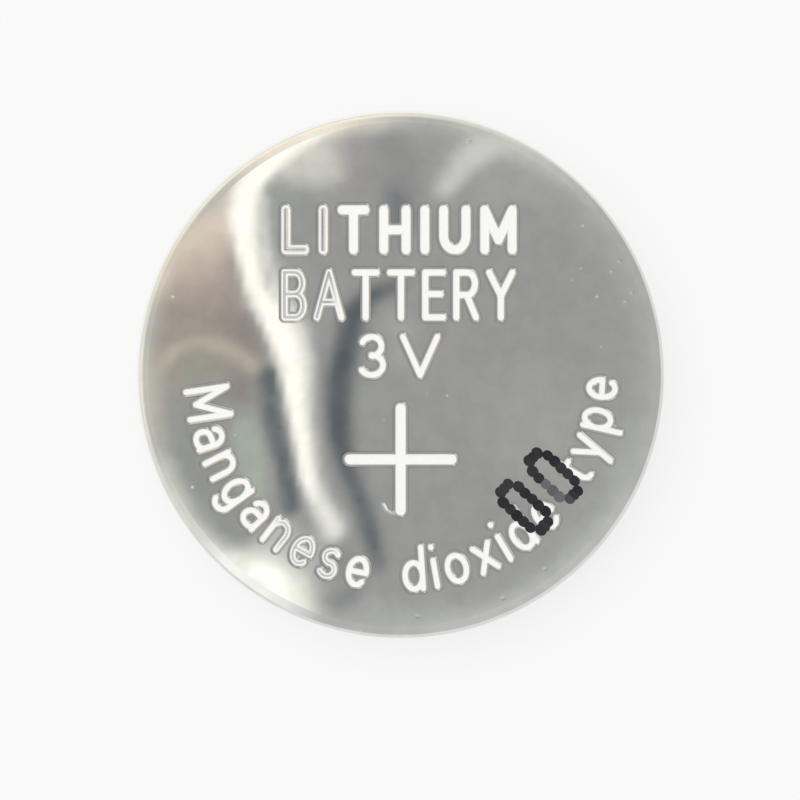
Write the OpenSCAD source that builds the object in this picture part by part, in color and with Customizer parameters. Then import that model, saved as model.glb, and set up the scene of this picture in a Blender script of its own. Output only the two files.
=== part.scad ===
// Lithium coin cell: a drawn steel can crimped over a plastic gasket and a stepped steel cap,
// with a cathode pellet in its collector ring, a separator and a lithium disc inside.
// It lies on its negative face. Z runs up through the cell to the positive face.

/* [Overall] */
// Outside diameter of the can
cell_d = 20; // [18:0.1:24.5]
// Height from the negative face to the positive face
cell_h = 3.2; // [3:0.1:5.4]

/* [Positive can] */
// Thickness of the can's sheet
can_wall = 0.25; // [0.2:0.01:0.3]
// Outside radius of the bend between the positive face and the side
can_corner_r = 0.5; // [0.35:0.05:0.8]
// Outside radius of the crimp that closes the can over the gasket
crimp_r = 1; // [0.9:0.02:1.1]
// How far the negative face stands proud of the crimp
cap_proud = 0.12; // [0.06:0.01:0.18]

/* [Polarity mark] */
// Length of each bar of the stamped plus
plus_span = 4.3; // [2:0.1:5]
// Width of the plus's bars
plus_bar_w = 0.46; // [0.3:0.02:0.7]
// Distance of the plus from the middle of the face
plus_offset = 3.2; // [2.6:0.1:4]
// Depth of the stamping
stamp_depth = 0.05; // [0.03:0.01:0.1]

/* [Negative cap] */
// Thickness of the cap's sheet
cap_wall = 0.25; // [0.2:0.01:0.3]
// Outside radius of the bend around the negative face
cap_face_bend_r = 0.35; // [0.32:0.01:0.4]
// Depth of the shelf behind the negative face, which the crimp bears on
cap_step_h = 0.65; // [0.6:0.01:0.75]
// Inside radius of the two bends of the shelf
cap_step_bend_r = 0.12; // [0.08:0.01:0.14]

/* [Gasket] */
// Thickness of the gasket between the can's side and the cap's skirt
gasket_wall = 0.45; // [0.4:0.01:0.5]
// Thickness of the gasket's foot, between the can's bottom and the edge of the cap's skirt
gasket_foot_t = 0.4; // [0.3:0.02:0.5]
// Thickness of the gasket's inner lip, inside the cap's skirt
gasket_lip_t = 0.4; // [0.3:0.02:0.45]
// Height of the gasket's inner lip from the can's bottom
gasket_lip_h = 1.2; // [0.8:0.05:1.4]
// Width of the gasket that shows between the crimp and the cap
gasket_show_w = 0.22; // [0.18:0.01:0.3]
// How far the gasket's edge lies behind the crimp
gasket_recess = 0.08; // [0.02:0.01:0.12]

/* [Electrodes] */
// Radial gap between the collector ring and the gasket's inner lip
cathode_gap = 0.55; // [0.3:0.05:0.9]
// Thickness of the collector ring's sheet
ring_wall = 0.15; // [0.1:0.01:0.25]
// Height of the collector ring
ring_h = 1; // [0.6:0.05:1.4]
// Width of the collector ring's flange under the pellet
ring_flange_w = 1.2; // [0.6:0.1:2]
// Thickness of the separator
separator_t = 0.2; // [0.1:0.02:0.3]
// Radial gap between the separator and the bend inside the cap's skirt
separator_gap = 0.04; // [0.02:0.01:0.08]
// Radial gap between the lithium disc and the cap
lithium_gap = 0.3; // [0.15:0.05:0.6]

/* [Hidden] */
$fn = 128;

// How far a shape runs on past the face that it cuts or joins
over = 1;

can_r = cell_d / 2;
// Middle of the crimp's bend, in section
crimp_mid_r = can_r - crimp_r;
crimp_mid_z = cap_proud + crimp_r;
// Rounded edge of the can's sheet, at the end of the crimp
edge_r = can_wall / 2;
edge_z = cap_proud + edge_r;

can_floor_z = cell_h - can_wall;
gasket_foot_z = can_floor_z - gasket_foot_t;
gasket_end_z = cap_proud + gasket_recess;

cap_face_r = crimp_mid_r - edge_r - gasket_show_w;
cap_skirt_r = can_r - can_wall - gasket_wall;
cap_shelf_z = cap_step_h + cap_wall;

lip_inner_r = cap_skirt_r - cap_wall - gasket_lip_t;
ring_outer_r = lip_inner_r - cathode_gap;
pellet_r = ring_outer_r - ring_wall;

separator_r = cap_skirt_r - cap_wall - cap_step_bend_r - separator_gap;
separator_top_z = cap_shelf_z + separator_t;
lithium_r = cap_face_r - cap_wall - lithium_gap;

// What a round bend takes off an outside corner, or adds to an inside one, in section.
// out_x and out_y are 1 or -1, and point from the bend's centre to the corner.
module corner_piece(x, y, r, out_x, out_y) {
    side = r + over;
    translate([x - out_x * r, y - out_y * r])
        difference() {
            translate([min(0, out_x) * side, min(0, out_y) * side]) square(side);
            circle(r);
        }
}

// The can's outline in section, filled from the axis. inset 0 is the outside of its sheet,
// and an inset of the wall is the inside.
module can_outline(inset) {
    bend_r = crimp_r - inset;
    difference() {
        union() {
            translate([0, crimp_mid_z])
                square([can_r - inset, cell_h - inset - crimp_mid_z]);
            translate([0, crimp_mid_z - bend_r]) square([crimp_mid_r, bend_r + over]);
            translate([crimp_mid_r, crimp_mid_z]) circle(bend_r);
        }
        corner_piece(can_r - inset, cell_h - inset, can_corner_r - inset, 1, 1);
    }
}

// The rounded edge of the can's sheet, in section
module can_edge() {
    translate([crimp_mid_r, edge_z]) circle(edge_r);
}

// The cap's outline in section, filled from the axis up to top_z. inset 0 is the outside
// of its sheet, and an inset of the wall is the inside.
module cap_outline(inset, top_z) {
    face_r = cap_face_r - inset;
    skirt_r = cap_skirt_r - inset;
    shelf_z = cap_step_h + inset;
    difference() {
        union() {
            translate([0, inset]) square([face_r, top_z - inset]);
            translate([0, shelf_z]) square([skirt_r, top_z - shelf_z]);
            corner_piece(face_r, shelf_z, cap_step_bend_r + inset, -1, 1);
        }
        corner_piece(face_r, inset, cap_face_bend_r - inset, 1, -1);
        corner_piece(skirt_r, shelf_z, cap_step_bend_r + cap_wall - inset, 1, -1);
    }
}

// A flat bar with round ends
module round_bar(length, width) {
    square([length - width, width], center = true);
    for (side = [-1, 1])
        translate([side * (length - width) / 2, 0]) circle(width / 2);
}

// The stamping that marks the positive face
module plus_mark() {
    translate([0, -plus_offset, cell_h - stamp_depth])
        linear_extrude(stamp_depth + over)
            for (turn = [0, 90]) rotate(turn) round_bar(plus_span, plus_bar_w);
}

module positive_can() {
    color([0.77, 0.77, 0.75])
        difference() {
            rotate_extrude() {
                difference() {
                    can_outline(0);
                    can_outline(can_wall);
                    square([crimp_mid_r, cap_proud + can_wall + over]);
                }
                can_edge();
            }
            plus_mark();
        }
}

module negative_cap() {
    color([0.72, 0.72, 0.7])
        rotate_extrude()
            difference() {
                cap_outline(0, gasket_foot_z);
                cap_outline(cap_wall, gasket_foot_z + over);
            }
}

module gasket() {
    color([0.2, 0.21, 0.22])
        rotate_extrude() {
            difference() {
                union() {
                    can_outline(can_wall);
                    translate([0, gasket_end_z])
                        square([crimp_mid_r, cap_proud + can_wall + over - gasket_end_z]);
                }
                cap_outline(0, gasket_foot_z);
                can_edge();
                translate([0, gasket_foot_z]) square([lip_inner_r, gasket_foot_t + over]);
            }
            translate([lip_inner_r, can_floor_z - gasket_lip_h])
                square([gasket_lip_t, gasket_lip_h]);
        }
}

module cathode_pellet() {
    color([0.07, 0.07, 0.07])
        rotate_extrude()
            difference() {
                translate([0, separator_top_z])
                    square([pellet_r, can_floor_z - separator_top_z]);
                translate([ring_outer_r - ring_flange_w, can_floor_z - ring_wall])
                    square([ring_flange_w, ring_wall + over]);
            }
}

module cathode_ring() {
    color([0.66, 0.66, 0.65])
        rotate_extrude() {
            translate([pellet_r, can_floor_z - ring_h]) square([ring_wall, ring_h]);
            translate([ring_outer_r - ring_flange_w, can_floor_z - ring_wall])
                square([ring_flange_w, ring_wall]);
        }
}

module separator() {
    color([0.93, 0.93, 0.9])
        translate([0, 0, cap_shelf_z])
            cylinder(r = separator_r, h = separator_t);
}

module lithium_disc() {
    color([0.82, 0.82, 0.84])
        translate([0, 0, cap_wall])
            cylinder(r = lithium_r, h = cap_shelf_z - cap_wall);
}

positive_can();
negative_cap();
gasket();
cathode_pellet();
cathode_ring();
separator();
lithium_disc();
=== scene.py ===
"""Looks of a lithium coin cell: turned steel shells, punched face, printed code, insides and studio.

Everything lies in the frame's own axes: +Z runs up through the cell, and +Y is up on its face.
Sizes are in millimetres until a mesh is made, and meshes are in metres.
"""

import logging
import math
from dataclasses import dataclass, field
from enum import Enum

import bpy
import numpy as np
from mathutils.geometry import delaunay_2d_cdt
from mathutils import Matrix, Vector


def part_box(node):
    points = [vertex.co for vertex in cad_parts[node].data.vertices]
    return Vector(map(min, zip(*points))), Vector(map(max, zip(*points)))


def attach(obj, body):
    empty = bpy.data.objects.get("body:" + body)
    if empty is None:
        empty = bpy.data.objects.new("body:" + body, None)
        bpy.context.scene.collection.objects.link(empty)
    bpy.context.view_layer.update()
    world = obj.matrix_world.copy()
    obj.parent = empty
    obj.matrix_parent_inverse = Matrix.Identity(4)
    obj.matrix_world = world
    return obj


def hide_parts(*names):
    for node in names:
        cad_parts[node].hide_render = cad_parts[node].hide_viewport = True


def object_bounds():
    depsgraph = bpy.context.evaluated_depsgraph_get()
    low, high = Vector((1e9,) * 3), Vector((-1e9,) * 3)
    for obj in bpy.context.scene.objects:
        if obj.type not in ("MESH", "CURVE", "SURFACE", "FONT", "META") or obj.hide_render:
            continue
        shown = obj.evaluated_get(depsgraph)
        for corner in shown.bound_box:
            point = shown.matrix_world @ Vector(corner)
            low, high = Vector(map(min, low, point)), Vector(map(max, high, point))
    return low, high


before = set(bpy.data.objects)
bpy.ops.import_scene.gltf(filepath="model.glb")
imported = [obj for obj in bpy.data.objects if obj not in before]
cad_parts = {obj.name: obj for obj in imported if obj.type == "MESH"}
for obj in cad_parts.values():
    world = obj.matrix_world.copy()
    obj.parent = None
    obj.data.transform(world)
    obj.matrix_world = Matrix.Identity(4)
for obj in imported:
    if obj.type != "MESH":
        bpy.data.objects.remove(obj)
FRAME_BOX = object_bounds()

LOG = logging.getLogger("coin_cell")

# The frame's only body
BODY = "root"

# Metres in a millimetre and in a micron
MM = 0.001
MICRON = 0.000001

# Length below which two points count as one, in millimetres
TINY = 1e-9

# Middle of the face in the photograph, and the photograph's scale
FACE_CENTRE_PX = (400.5, 374.5)
PX_PER_MM = 26.4

# Range that soft noise mostly keeps to, and how many finer layers a grain has
NOISE_SPAN = (0.3, 0.7)
GRAIN_DETAIL = 3.0

# Fewest straight steps in a bend or a round end, and degrees between the points of a letter's bow
FEWEST_STEPS = 3
BOW_STEP = 10.0

# Smallest angle between two faces of a turned piece that counts as a corner, in degrees
CORNER_ANGLE = 35.0

Point = tuple[float, float]
Colour = tuple[float, float, float]
Socket = bpy.types.NodeSocket


def linear(tone: str) -> np.ndarray:
    """Turns a display tone into the light values that Blender works in, by the sRGB curve.

    Args:
        tone: six hexadecimal digits, red, green and blue.

    Returns:
        The three linear values, from 0 to 1.
    """
    shares = np.array([int(tone[i:i + 2], 16) for i in (0, 2, 4)]) / 255
    return np.where(shares <= 0.04045, shares / 12.92, ((shares + 0.055) / 1.055) ** 2.4)


def laid_over(tones: np.ndarray, colour: np.ndarray, share: np.ndarray) -> np.ndarray:
    """Covers tones with a colour.

    Args:
        tones: linear light at some points.
        colour: linear light to lay over it, one for all the points or one for each.
        share: how much of that there is at each point, from 0 to 1.

    Returns:
        The mixed light.
    """
    cover = share[:, None]
    return tones * (1 - cover) + colour * cover


def in_mm(metres: float) -> float:
    """Turns one of the frame's lengths into millimetres, rounded to a micron."""
    return round(metres / MM, 3)


# Radius and height of the whole cell, in millimetres
CELL_RADIUS = in_mm(FRAME_BOX[1][0])
CELL_HEIGHT = in_mm(FRAME_BOX[1][2])


def from_photo(x: float, y: float) -> Point:
    """Turns a pixel of the photograph into a place on the face.

    Args:
        x: pixels from the left.
        y: pixels from the top.

    Returns:
        Millimetres from the middle of the face, to the right and up.
    """
    return (x - FACE_CENTRE_PX[0]) / PX_PER_MM, (FACE_CENTRE_PX[1] - y) / PX_PER_MM


def in_photo(places: np.ndarray) -> np.ndarray:
    """Turns places on the face, in millimetres, into pixels of the photograph."""
    return np.array(FACE_CENTRE_PX) + places * (PX_PER_MM, -PX_PER_MM)


def ramp(values: np.ndarray) -> np.ndarray:
    """Smooth step from 0 to 1 of each value, level at both ends."""
    held = np.clip(values, 0, 1)
    return held * held * (3 - 2 * held)


def ramp_slope(values: np.ndarray) -> np.ndarray:
    """Slope of ramp at each value, which is 0 outside its two ends."""
    held = np.clip(values, 0, 1)
    return 6 * held * (1 - held)


class Graph:
    """Node tree under construction, with short calls for the nodes that the finishes share."""

    def __init__(self, tree: bpy.types.NodeTree) -> None:
        """Takes over a tree and empties it.

        Args:
            tree: the node tree of a material, a world or a modifier.
        """
        self.tree = tree
        tree.nodes.clear()

    def feed(self, socket: Socket, value: object) -> None:
        """Links a socket to an output, or sets its value.

        Args:
            socket: the input to fill.
            value: an output socket, or a plain value.
        """
        if isinstance(value, Socket):
            self.tree.links.new(value, socket)
        else:
            socket.default_value = value

    def node(self, kind: str, inputs: dict | None = None, **settings: object) -> bpy.types.Node:
        """Adds a node.

        Args:
            kind: Blender's name for the type of node.
            inputs: what goes into its sockets, by name or by number.
            settings: the node's own settings.

        Returns:
            The new node.
        """
        made = self.tree.nodes.new(kind)
        for name, value in settings.items():
            setattr(made, name, value)
        for name, value in (inputs or {}).items():
            self.feed(made.inputs[name], value)
        return made

    def math(self, operation: str, first: object, second: object = 0.0) -> Socket:
        """Works out one sum of two values.

        Args:
            operation: Blender's name for the sum.
            first: the first value or socket.
            second: the second value or socket.

        Returns:
            The result's socket.
        """
        return self.node("ShaderNodeMath", {0: first, 1: second}, operation=operation).outputs[0]

    def remap(self, value: object, start: float, end: float, low: float = 0.0, high: float = 1.0) -> Socket:
        """Turns a range of a value into another range, smoothly.

        Args:
            value: the value or socket.
            start: where the low end lies.
            end: where the high end lies.
            low: the result at start.
            high: the result at end.

        Returns:
            The result's socket.
        """
        inputs = {"Value": value, "From Min": start, "From Max": end, "To Min": low, "To Max": high}
        return self.node("ShaderNodeMapRange", inputs, interpolation_type="SMOOTHSTEP").outputs[0]

    def mix(self, share: object, first: object, second: object) -> Socket:
        """Mixes two values.

        Args:
            share: how much of the second.
            first: a value or socket.
            second: a value or socket.

        Returns:
            The mixed value's socket.
        """
        # The node keeps its two plain values at sockets 2 and 3, and its two colours at 6 and 7
        return self.node("ShaderNodeMix", {0: share, 2: first, 3: second}, data_type="FLOAT").outputs[0]

    def mix_colour(self, share: object, first: object, second: object) -> Socket:
        """Mixes two colours.

        Args:
            share: how much of the second.
            first: a linear colour or a socket.
            second: a linear colour or a socket.

        Returns:
            The mixed colour's socket.
        """
        first, second = ((*c, 1.0) if isinstance(c, tuple) else c for c in (first, second))
        return self.node("ShaderNodeMix", {0: share, 6: first, 7: second}, data_type="RGBA").outputs[2]

    def vector(self, operation: str, first: object, second: object = (0.0, 0.0, 0.0)) -> Socket:
        """Works out one sum of two vectors.

        Args:
            operation: Blender's name for the sum.
            first: the first vector or socket.
            second: the second vector or socket.

        Returns:
            The result's socket, which is a number for a length or a dot product.
        """
        outputs = self.node("ShaderNodeVectorMath", {0: first, 1: second}, operation=operation).outputs
        return outputs["Value" if operation in ("LENGTH", "DOT_PRODUCT") else "Vector"]

    def noise(self, place: Socket, size: float, detail: float = 2.0) -> Socket:
        """Adds soft random patches.

        Args:
            place: the coordinates, in metres.
            size: millimetres across a patch.
            detail: how many finer layers there are.

        Returns:
            A value around 0.5 at each place.
        """
        inputs = {"Vector": place, "Scale": 1 / (size * MM), "Detail": detail}
        return self.node("ShaderNodeTexNoise", inputs).outputs[0]

    def clouds(self, place: Socket, size: float, detail: float = 2.0) -> Socket:
        """Adds soft random patches that reach from 0 to 1."""
        return self.remap(self.noise(place, size, detail), *NOISE_SPAN)

    def attribute(self, name: str) -> Socket:
        """Reads a value that the mesh holds at each point."""
        return self.node("ShaderNodeAttribute", attribute_name=name).outputs["Fac"]


def new_material(name: str) -> tuple[bpy.types.Material, Graph]:
    """Starts a material.

    Args:
        name: its name.

    Returns:
        The material, and its empty tree.
    """
    made = bpy.data.materials.new(name)
    made.use_nodes = True
    return made, Graph(made.node_tree)


def new_group(name: str, output: str, inputs: dict[str, str]) -> tuple[Graph, dict[str, str]]:
    """Starts a Geometry Nodes tree with named inputs.

    Args:
        name: the tree's name.
        output: the name of the geometry that it gives.
        inputs: the kind of each input, by the input's name.

    Returns:
        The empty tree, and the identifiers of its inputs by name.
    """
    tree = bpy.data.node_groups.new(name, "GeometryNodeTree")
    sockets = {
        label: tree.interface.new_socket(label, in_out="INPUT", socket_type="NodeSocket" + kind).identifier
        for label, kind in inputs.items()
    }
    tree.interface.new_socket(output, in_out="OUTPUT", socket_type="NodeSocketGeometry")
    return Graph(tree), sockets


@dataclass(frozen=True)
class Coat:
    """Material under construction, with the patterns that a finish works from.

    Attributes:
        graph: the material's tree.
        shader: its Principled shader.
        place: the object coordinates.
        grain: the grain's value at each place.
        drift: the slow drift of the colour, from 0 to 1.
    """

    graph: Graph
    shader: bpy.types.Node
    place: Socket
    grain: Socket
    drift: Socket

    def fill(self, colour: Socket, roughness: Socket, normal: Socket) -> None:
        """Fills the shader's three patterned sockets.

        Args:
            colour: the colour at each place.
            roughness: the roughness at each place.
            normal: the bent normal at each place.
        """
        for name, value in (("Base Color", colour), ("Roughness", roughness), ("Normal", normal)):
            self.graph.feed(self.shader.inputs[name], value)


@dataclass(frozen=True)
class Finish:
    """Surface of one tone that drifts a little, with an uneven grain that can be felt.

    Attributes:
        name: the material's name.
        tone: the linear colour of most of the surface.
        deep_tone: the linear colour that it drifts towards.
        roughness: how matt it is.
        roughness_swing: how far the roughness varies with the grain.
        metallic: 1 for bare metal and 0 for anything else.
        drift: millimetres across a patch of the colour's drift.
        grain: millimetres across a grain.
        stretch: how much longer the grain is along each axis.
        relief: height of the grain, in microns.
    """

    name: str
    tone: Colour
    deep_tone: Colour
    roughness: float
    roughness_swing: float = 0.06
    metallic: float = 0.0
    drift: float = 3.0
    grain: float = 0.2
    stretch: tuple[float, float, float] = (1.0, 1.0, 1.0)
    relief: float = 1.0

    def material(self) -> bpy.types.Material:
        """Builds the material.

        Returns:
            A material that reads only object coordinates and the mesh's own attributes.
        """
        made, graph = new_material(self.name)
        place = graph.node("ShaderNodeTexCoord").outputs["Object"]
        thin = tuple(1 / s for s in self.stretch)
        along = graph.node("ShaderNodeMapping", {"Vector": place, "Scale": thin}).outputs[0]
        grain = graph.noise(along, self.grain, GRAIN_DETAIL)
        shader = graph.node("ShaderNodeBsdfPrincipled", {"Metallic": self.metallic})
        self.dress(Coat(graph, shader, place, grain, graph.clouds(place, self.drift)))
        graph.node("ShaderNodeOutputMaterial", {"Surface": shader.outputs[0]})
        return made

    def dress(self, coat: Coat) -> None:
        """Fills the shader's sockets.

        Args:
            coat: the material under construction.
        """
        coat.fill(coat.graph.mix_colour(coat.drift, self.tone, self.deep_tone),
                  self.grain_roughness(coat.graph, coat.grain),
                  self.relief_normal(coat.graph, coat.grain))

    def grain_roughness(self, graph: Graph, grain: Socket) -> Socket:
        """Lets the roughness follow the grain.

        Args:
            graph: the material's tree.
            grain: the grain's value at each place.

        Returns:
            The roughness.
        """
        low = self.roughness - self.roughness_swing
        high = self.roughness + self.roughness_swing
        return graph.remap(grain, *NOISE_SPAN, low, high)

    def relief_normal(self, graph: Graph, height: Socket) -> Socket:
        """Raises the surface by a height, in shading only.

        Args:
            graph: the material's tree.
            height: the height, as a share of the relief.

        Returns:
            The bent normal.
        """
        inputs = {"Strength": 1.0, "Distance": self.relief * MICRON, "Height": height}
        return graph.node("ShaderNodeBump", inputs).outputs[0]


@dataclass(frozen=True)
class PunchedSteel(Finish):
    """Bright plated steel: a mirror on the face, frosted where it is punched, drawn on the side, with a
    painted highlight on the bend's edge and painted shade on the strokes' lips.

    Attributes:
        swirl: millimetres across a patch of the face's uneven polish.
        rim_highlight_tone: the linear colour of the painted highlight on the bend's outer edge.
        bend_start: millimetres from the axis to where the painted highlight starts.
        bend_end: millimetres from the axis to where it is full.
        bend_lean: how much further in it reaches towards each axis, as a share of the radius, so that it is
            wider on the upper left.
        struck_tone: the linear colour of the punched floor.
        struck_roughness: how matt the punched floor is.
        struck_metallic: how metallic the punched floor looks under its frosting.
        lip_painted_shade_tone: the linear colour of the painted shade on the rounded lip of a stroke.
        lip_painted_shade: how much of that painted shade there is.
        speck_spacing: millimetres between the cells that may hold a speck.
        speck_share: share of those cells that hold one.
        speck_radius: millimetres from a speck's middle to its edge.
        speck_core: share of that radius in which the speck is full.
        speck_shine: how much a speck covers the steel.
        side_top: height at which the painted highlight gives way to the lines of drawing, in millimetres.
        side_blur: height over which either one fades in, in millimetres.
        side_tone: the linear colour of the darker lines.
        side_roughness: how matt the steel is there.
        side_swing: how far that varies with the lines.
        line: millimetres across a line.
        line_wander: how fast a line changes along its way, as a share of how fast it does across.
    """

    swirl: float = 1.1
    rim_highlight_tone: Colour = (0.95, 0.945, 0.88)
    bend_start: float = CELL_RADIUS - 0.13
    bend_end: float = CELL_RADIUS - 0.05
    bend_lean: tuple[float, float, float] = (-0.004, 0.005, 0.0)
    struck_tone: Colour = (0.99, 0.99, 0.975)
    struck_roughness: float = 0.5
    struck_metallic: float = 0.1
    lip_painted_shade_tone: Colour = (0.1, 0.1, 0.1)
    lip_painted_shade: float = 0.38
    speck_spacing: float = 0.8
    speck_share: float = 0.3
    speck_radius: float = 0.08
    speck_core: float = 0.2
    speck_shine: float = 0.35
    side_top: float = CELL_HEIGHT - 0.45
    side_blur: float = 0.1
    side_tone: Colour = (0.59, 0.59, 0.58)
    side_roughness: float = 0.2
    side_swing: float = 0.06
    line: float = 0.035
    line_wander: float = 0.02

    def dress(self, coat: Coat) -> None:
        """Fills the shader's sockets.

        Args:
            coat: the material under construction.
        """
        graph, place = coat.graph, coat.place
        radius = graph.vector("LENGTH", graph.vector("MULTIPLY", place, (1.0, 1.0, 0.0)))
        height = graph.node("ShaderNodeSeparateXYZ", {0: place}).outputs[2]
        side = graph.remap(height, self.side_top * MM, (self.side_top - self.side_blur) * MM)
        lines = self.drawn_lines(graph, place, radius)
        speck = graph.math("MULTIPLY", self.specks(graph, place), self.speck_shine)
        marked = graph.math("MAXIMUM", graph.attribute("struck"), speck)
        plain = graph.mix_colour(coat.drift, self.tone, self.deep_tone)
        drawn = graph.mix_colour(side, plain, graph.mix_colour(lines, self.tone, self.side_tone))
        # Painted highlight: the bend's outer edge is lightened towards a pale tone
        edged = graph.mix_colour(self.painted_rim_highlight(graph, place, radius, height), drawn, self.rim_highlight_tone)
        # Painted shade: the rounded lip round each stroke is darkened
        lip = graph.math("MULTIPLY", graph.attribute("lip"), self.lip_painted_shade)
        shaded = graph.mix_colour(lip, edged, self.lip_painted_shade_tone)
        mirror = self.grain_roughness(graph, graph.noise(place, self.swirl, GRAIN_DETAIL))
        least, most = self.side_roughness - self.side_swing, self.side_roughness + self.side_swing
        rough = graph.mix(side, mirror, graph.remap(lines, 0.0, 1.0, least, most))
        coat.fill(graph.mix_colour(marked, shaded, self.struck_tone),
                  graph.mix(marked, rough, self.struck_roughness),
                  self.relief_normal(graph, graph.mix(side, coat.grain, lines)))
        metal = graph.mix(marked, self.metallic, self.struck_metallic)
        graph.feed(coat.shader.inputs["Metallic"], metal)

    def painted_rim_highlight(self, graph: Graph, place: Socket, radius: Socket, height: Socket) -> Socket:
        """Paints a highlight on the outer edge of the bend round the face.

        Args:
            graph: the material's tree.
            place: the object coordinates.
            radius: the distance from the axis.
            height: the height.

        Returns:
            How much of the painted highlight there is, from 0 to 1.
        """
        reach = graph.math("ADD", radius, graph.vector("DOT_PRODUCT", place, self.bend_lean))
        outward = graph.remap(reach, self.bend_start * MM, self.bend_end * MM)
        upward = graph.remap(height, self.side_top * MM, (self.side_top + self.side_blur) * MM)
        return graph.math("MULTIPLY", outward, upward)

    def drawn_lines(self, graph: Graph, place: Socket, radius: Socket) -> Socket:
        """Draws fine lines round the axis, as the drawing die leaves them.

        Args:
            graph: the material's tree.
            place: the object coordinates.
            radius: the distance from the axis.

        Returns:
            From 0 to 1 across the lines.
        """
        scale = (self.line_wander, self.line_wander, 1.0)
        long_way = graph.node("ShaderNodeMapping", {"Vector": place, "Scale": scale}).outputs[0]
        outward = graph.node("ShaderNodeCombineXYZ", {0: radius}).outputs[0]
        return graph.clouds(graph.vector("ADD", long_way, outward), self.line, GRAIN_DETAIL)

    def specks(self, graph: Graph, place: Socket) -> Socket:
        """Scatters small specks.

        Args:
            graph: the material's tree.
            place: the object coordinates.

        Returns:
            1 on a speck and 0 off it.
        """
        scale = 1 / (self.speck_spacing * MM)
        cells = graph.node("ShaderNodeTexVoronoi", {"Vector": place, "Scale": scale})
        chance = graph.node("ShaderNodeSeparateColor", {0: cells.outputs["Color"]}).outputs[0]
        kept = graph.math("LESS_THAN", chance, self.speck_share)
        edge = self.speck_radius / self.speck_spacing
        near = graph.remap(cells.outputs["Distance"], edge, edge * self.speck_core)
        return graph.math("MULTIPLY", near, kept)


@dataclass(frozen=True)
class FeltFinish(Finish):
    """Matt felt of fine tangled fibres.

    Attributes:
        fibre: millimetres between fibres.
        tangle: how far the fibres wander off their lines.
        cover: how much of the fibres shows where the colour's drift is 0.
    """

    fibre: float = 0.06
    tangle: float = 6.0
    cover: float = 0.6

    def dress(self, coat: Coat) -> None:
        """Fills the shader's sockets.

        Args:
            coat: the material under construction.
        """
        graph = coat.graph
        inputs = {"Vector": coat.place, "Scale": 1 / (self.fibre * MM), "Distortion": self.tangle,
                  "Detail": GRAIN_DETAIL}
        fibres = graph.node("ShaderNodeTexWave", inputs).outputs["Fac"]
        cloud = graph.math("MULTIPLY", fibres, graph.math("ADD", coat.drift, self.cover))
        coat.fill(graph.mix_colour(cloud, self.deep_tone, self.tone),
                  self.grain_roughness(graph, coat.grain),
                  self.relief_normal(graph, fibres))


@dataclass(frozen=True)
class InkFinish(Finish):
    """Dried printing ink, thinner and greyer where the mesh's fade is high.

    Attributes:
        thin_tone: the linear colour where the ink is thin.
        gloss: the shader's specular level.
    """

    thin_tone: Colour = (0.2, 0.2, 0.21)
    gloss: float = 0.25

    def dress(self, coat: Coat) -> None:
        """Fills the shader's sockets.

        Args:
            coat: the material under construction.
        """
        graph = coat.graph
        coat.shader.inputs["Specular IOR Level"].default_value = self.gloss
        full = graph.mix_colour(coat.drift, self.tone, self.deep_tone)
        coat.fill(graph.mix_colour(graph.attribute("fade"), full, self.thin_tone),
                  self.grain_roughness(graph, coat.grain),
                  self.relief_normal(graph, coat.grain))


CAN_STEEL = PunchedSteel("can_steel", (0.73, 0.73, 0.72), (0.68, 0.68, 0.67), roughness=0.03,
                         roughness_swing=0.01, metallic=1.0, drift=0.7, grain=3.0, relief=0.7)
CAP_STEEL = Finish("cap_steel", (0.66, 0.655, 0.64), (0.62, 0.615, 0.6), roughness=0.28,
                   metallic=1.0, drift=1.5, grain=0.12, relief=6.0)
GASKET_PLASTIC = Finish("gasket_plastic", (0.03, 0.031, 0.034), (0.045, 0.046, 0.05), roughness=0.5,
                        drift=0.8, grain=0.05, relief=2.0)
PRESSED_POWDER = Finish("cathode", (0.022, 0.022, 0.023), (0.012, 0.012, 0.012), roughness=0.82,
                        drift=0.9, grain=0.04, relief=8.0)
COLLECTOR_STEEL = Finish("collector_steel", (0.62, 0.61, 0.59), (0.54, 0.53, 0.51), roughness=0.3,
                         metallic=1.0, grain=0.08, stretch=(6.0, 1.0, 1.0), relief=1.2)
SEPARATOR_FELT = FeltFinish("separator_felt", (0.86, 0.85, 0.81), (0.74, 0.73, 0.69), roughness=0.85,
                            relief=12.0)
SOFT_METAL = Finish("lithium", (0.74, 0.74, 0.76), (0.62, 0.62, 0.65), roughness=0.38,
                    metallic=1.0, grain=0.15, stretch=(1.0, 9.0, 1.0), relief=3.0)
PRINTING_INK = InkFinish("marking_ink", (0.009, 0.01, 0.015), (0.015, 0.016, 0.022), roughness=0.55,
                         drift=0.5, grain=0.05, relief=0.8)


@dataclass
class Section:
    """Outline of a turned shape on one side of its axis, in millimetres.

    Attributes:
        points: distance from the axis and height of each point, in order.
        closed: whether the last point joins the first.
        arc_step: degrees between the points of a bend.
    """

    points: list[Point] = field(default_factory=list)
    closed: bool = False
    arc_step: float = 7.5

    def to(self, r: float, z: float) -> "Section":
        """Runs straight to a point.

        Args:
            r: distance from the axis.
            z: height.

        Returns:
            The section, so that calls can follow each other.
        """
        self.points.append((r, z))
        return self

    def bend(self, r: float, z: float, radius: float, start: float, end: float) -> "Section":
        """Follows a round bend.

        Args:
            r: distance of the bend's centre from the axis.
            z: height of the bend's centre.
            radius: radius of the bend.
            start: angle of its first point, in degrees, with 0 outwards and 90 up.
            end: angle of its last point.

        Returns:
            The section, so that calls can follow each other.
        """
        steps = max(FEWEST_STEPS, math.ceil(abs(end - start) / self.arc_step))
        for i in range(steps + 1):
            angle = math.radians(start + (end - start) * i / steps)
            self.to(r + radius * math.cos(angle), z + radius * math.sin(angle))
        return self

    def backwards(self) -> "Section":
        """Runs the outline the other way, from its last point to its first."""
        self.points.reverse()
        return self


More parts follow.
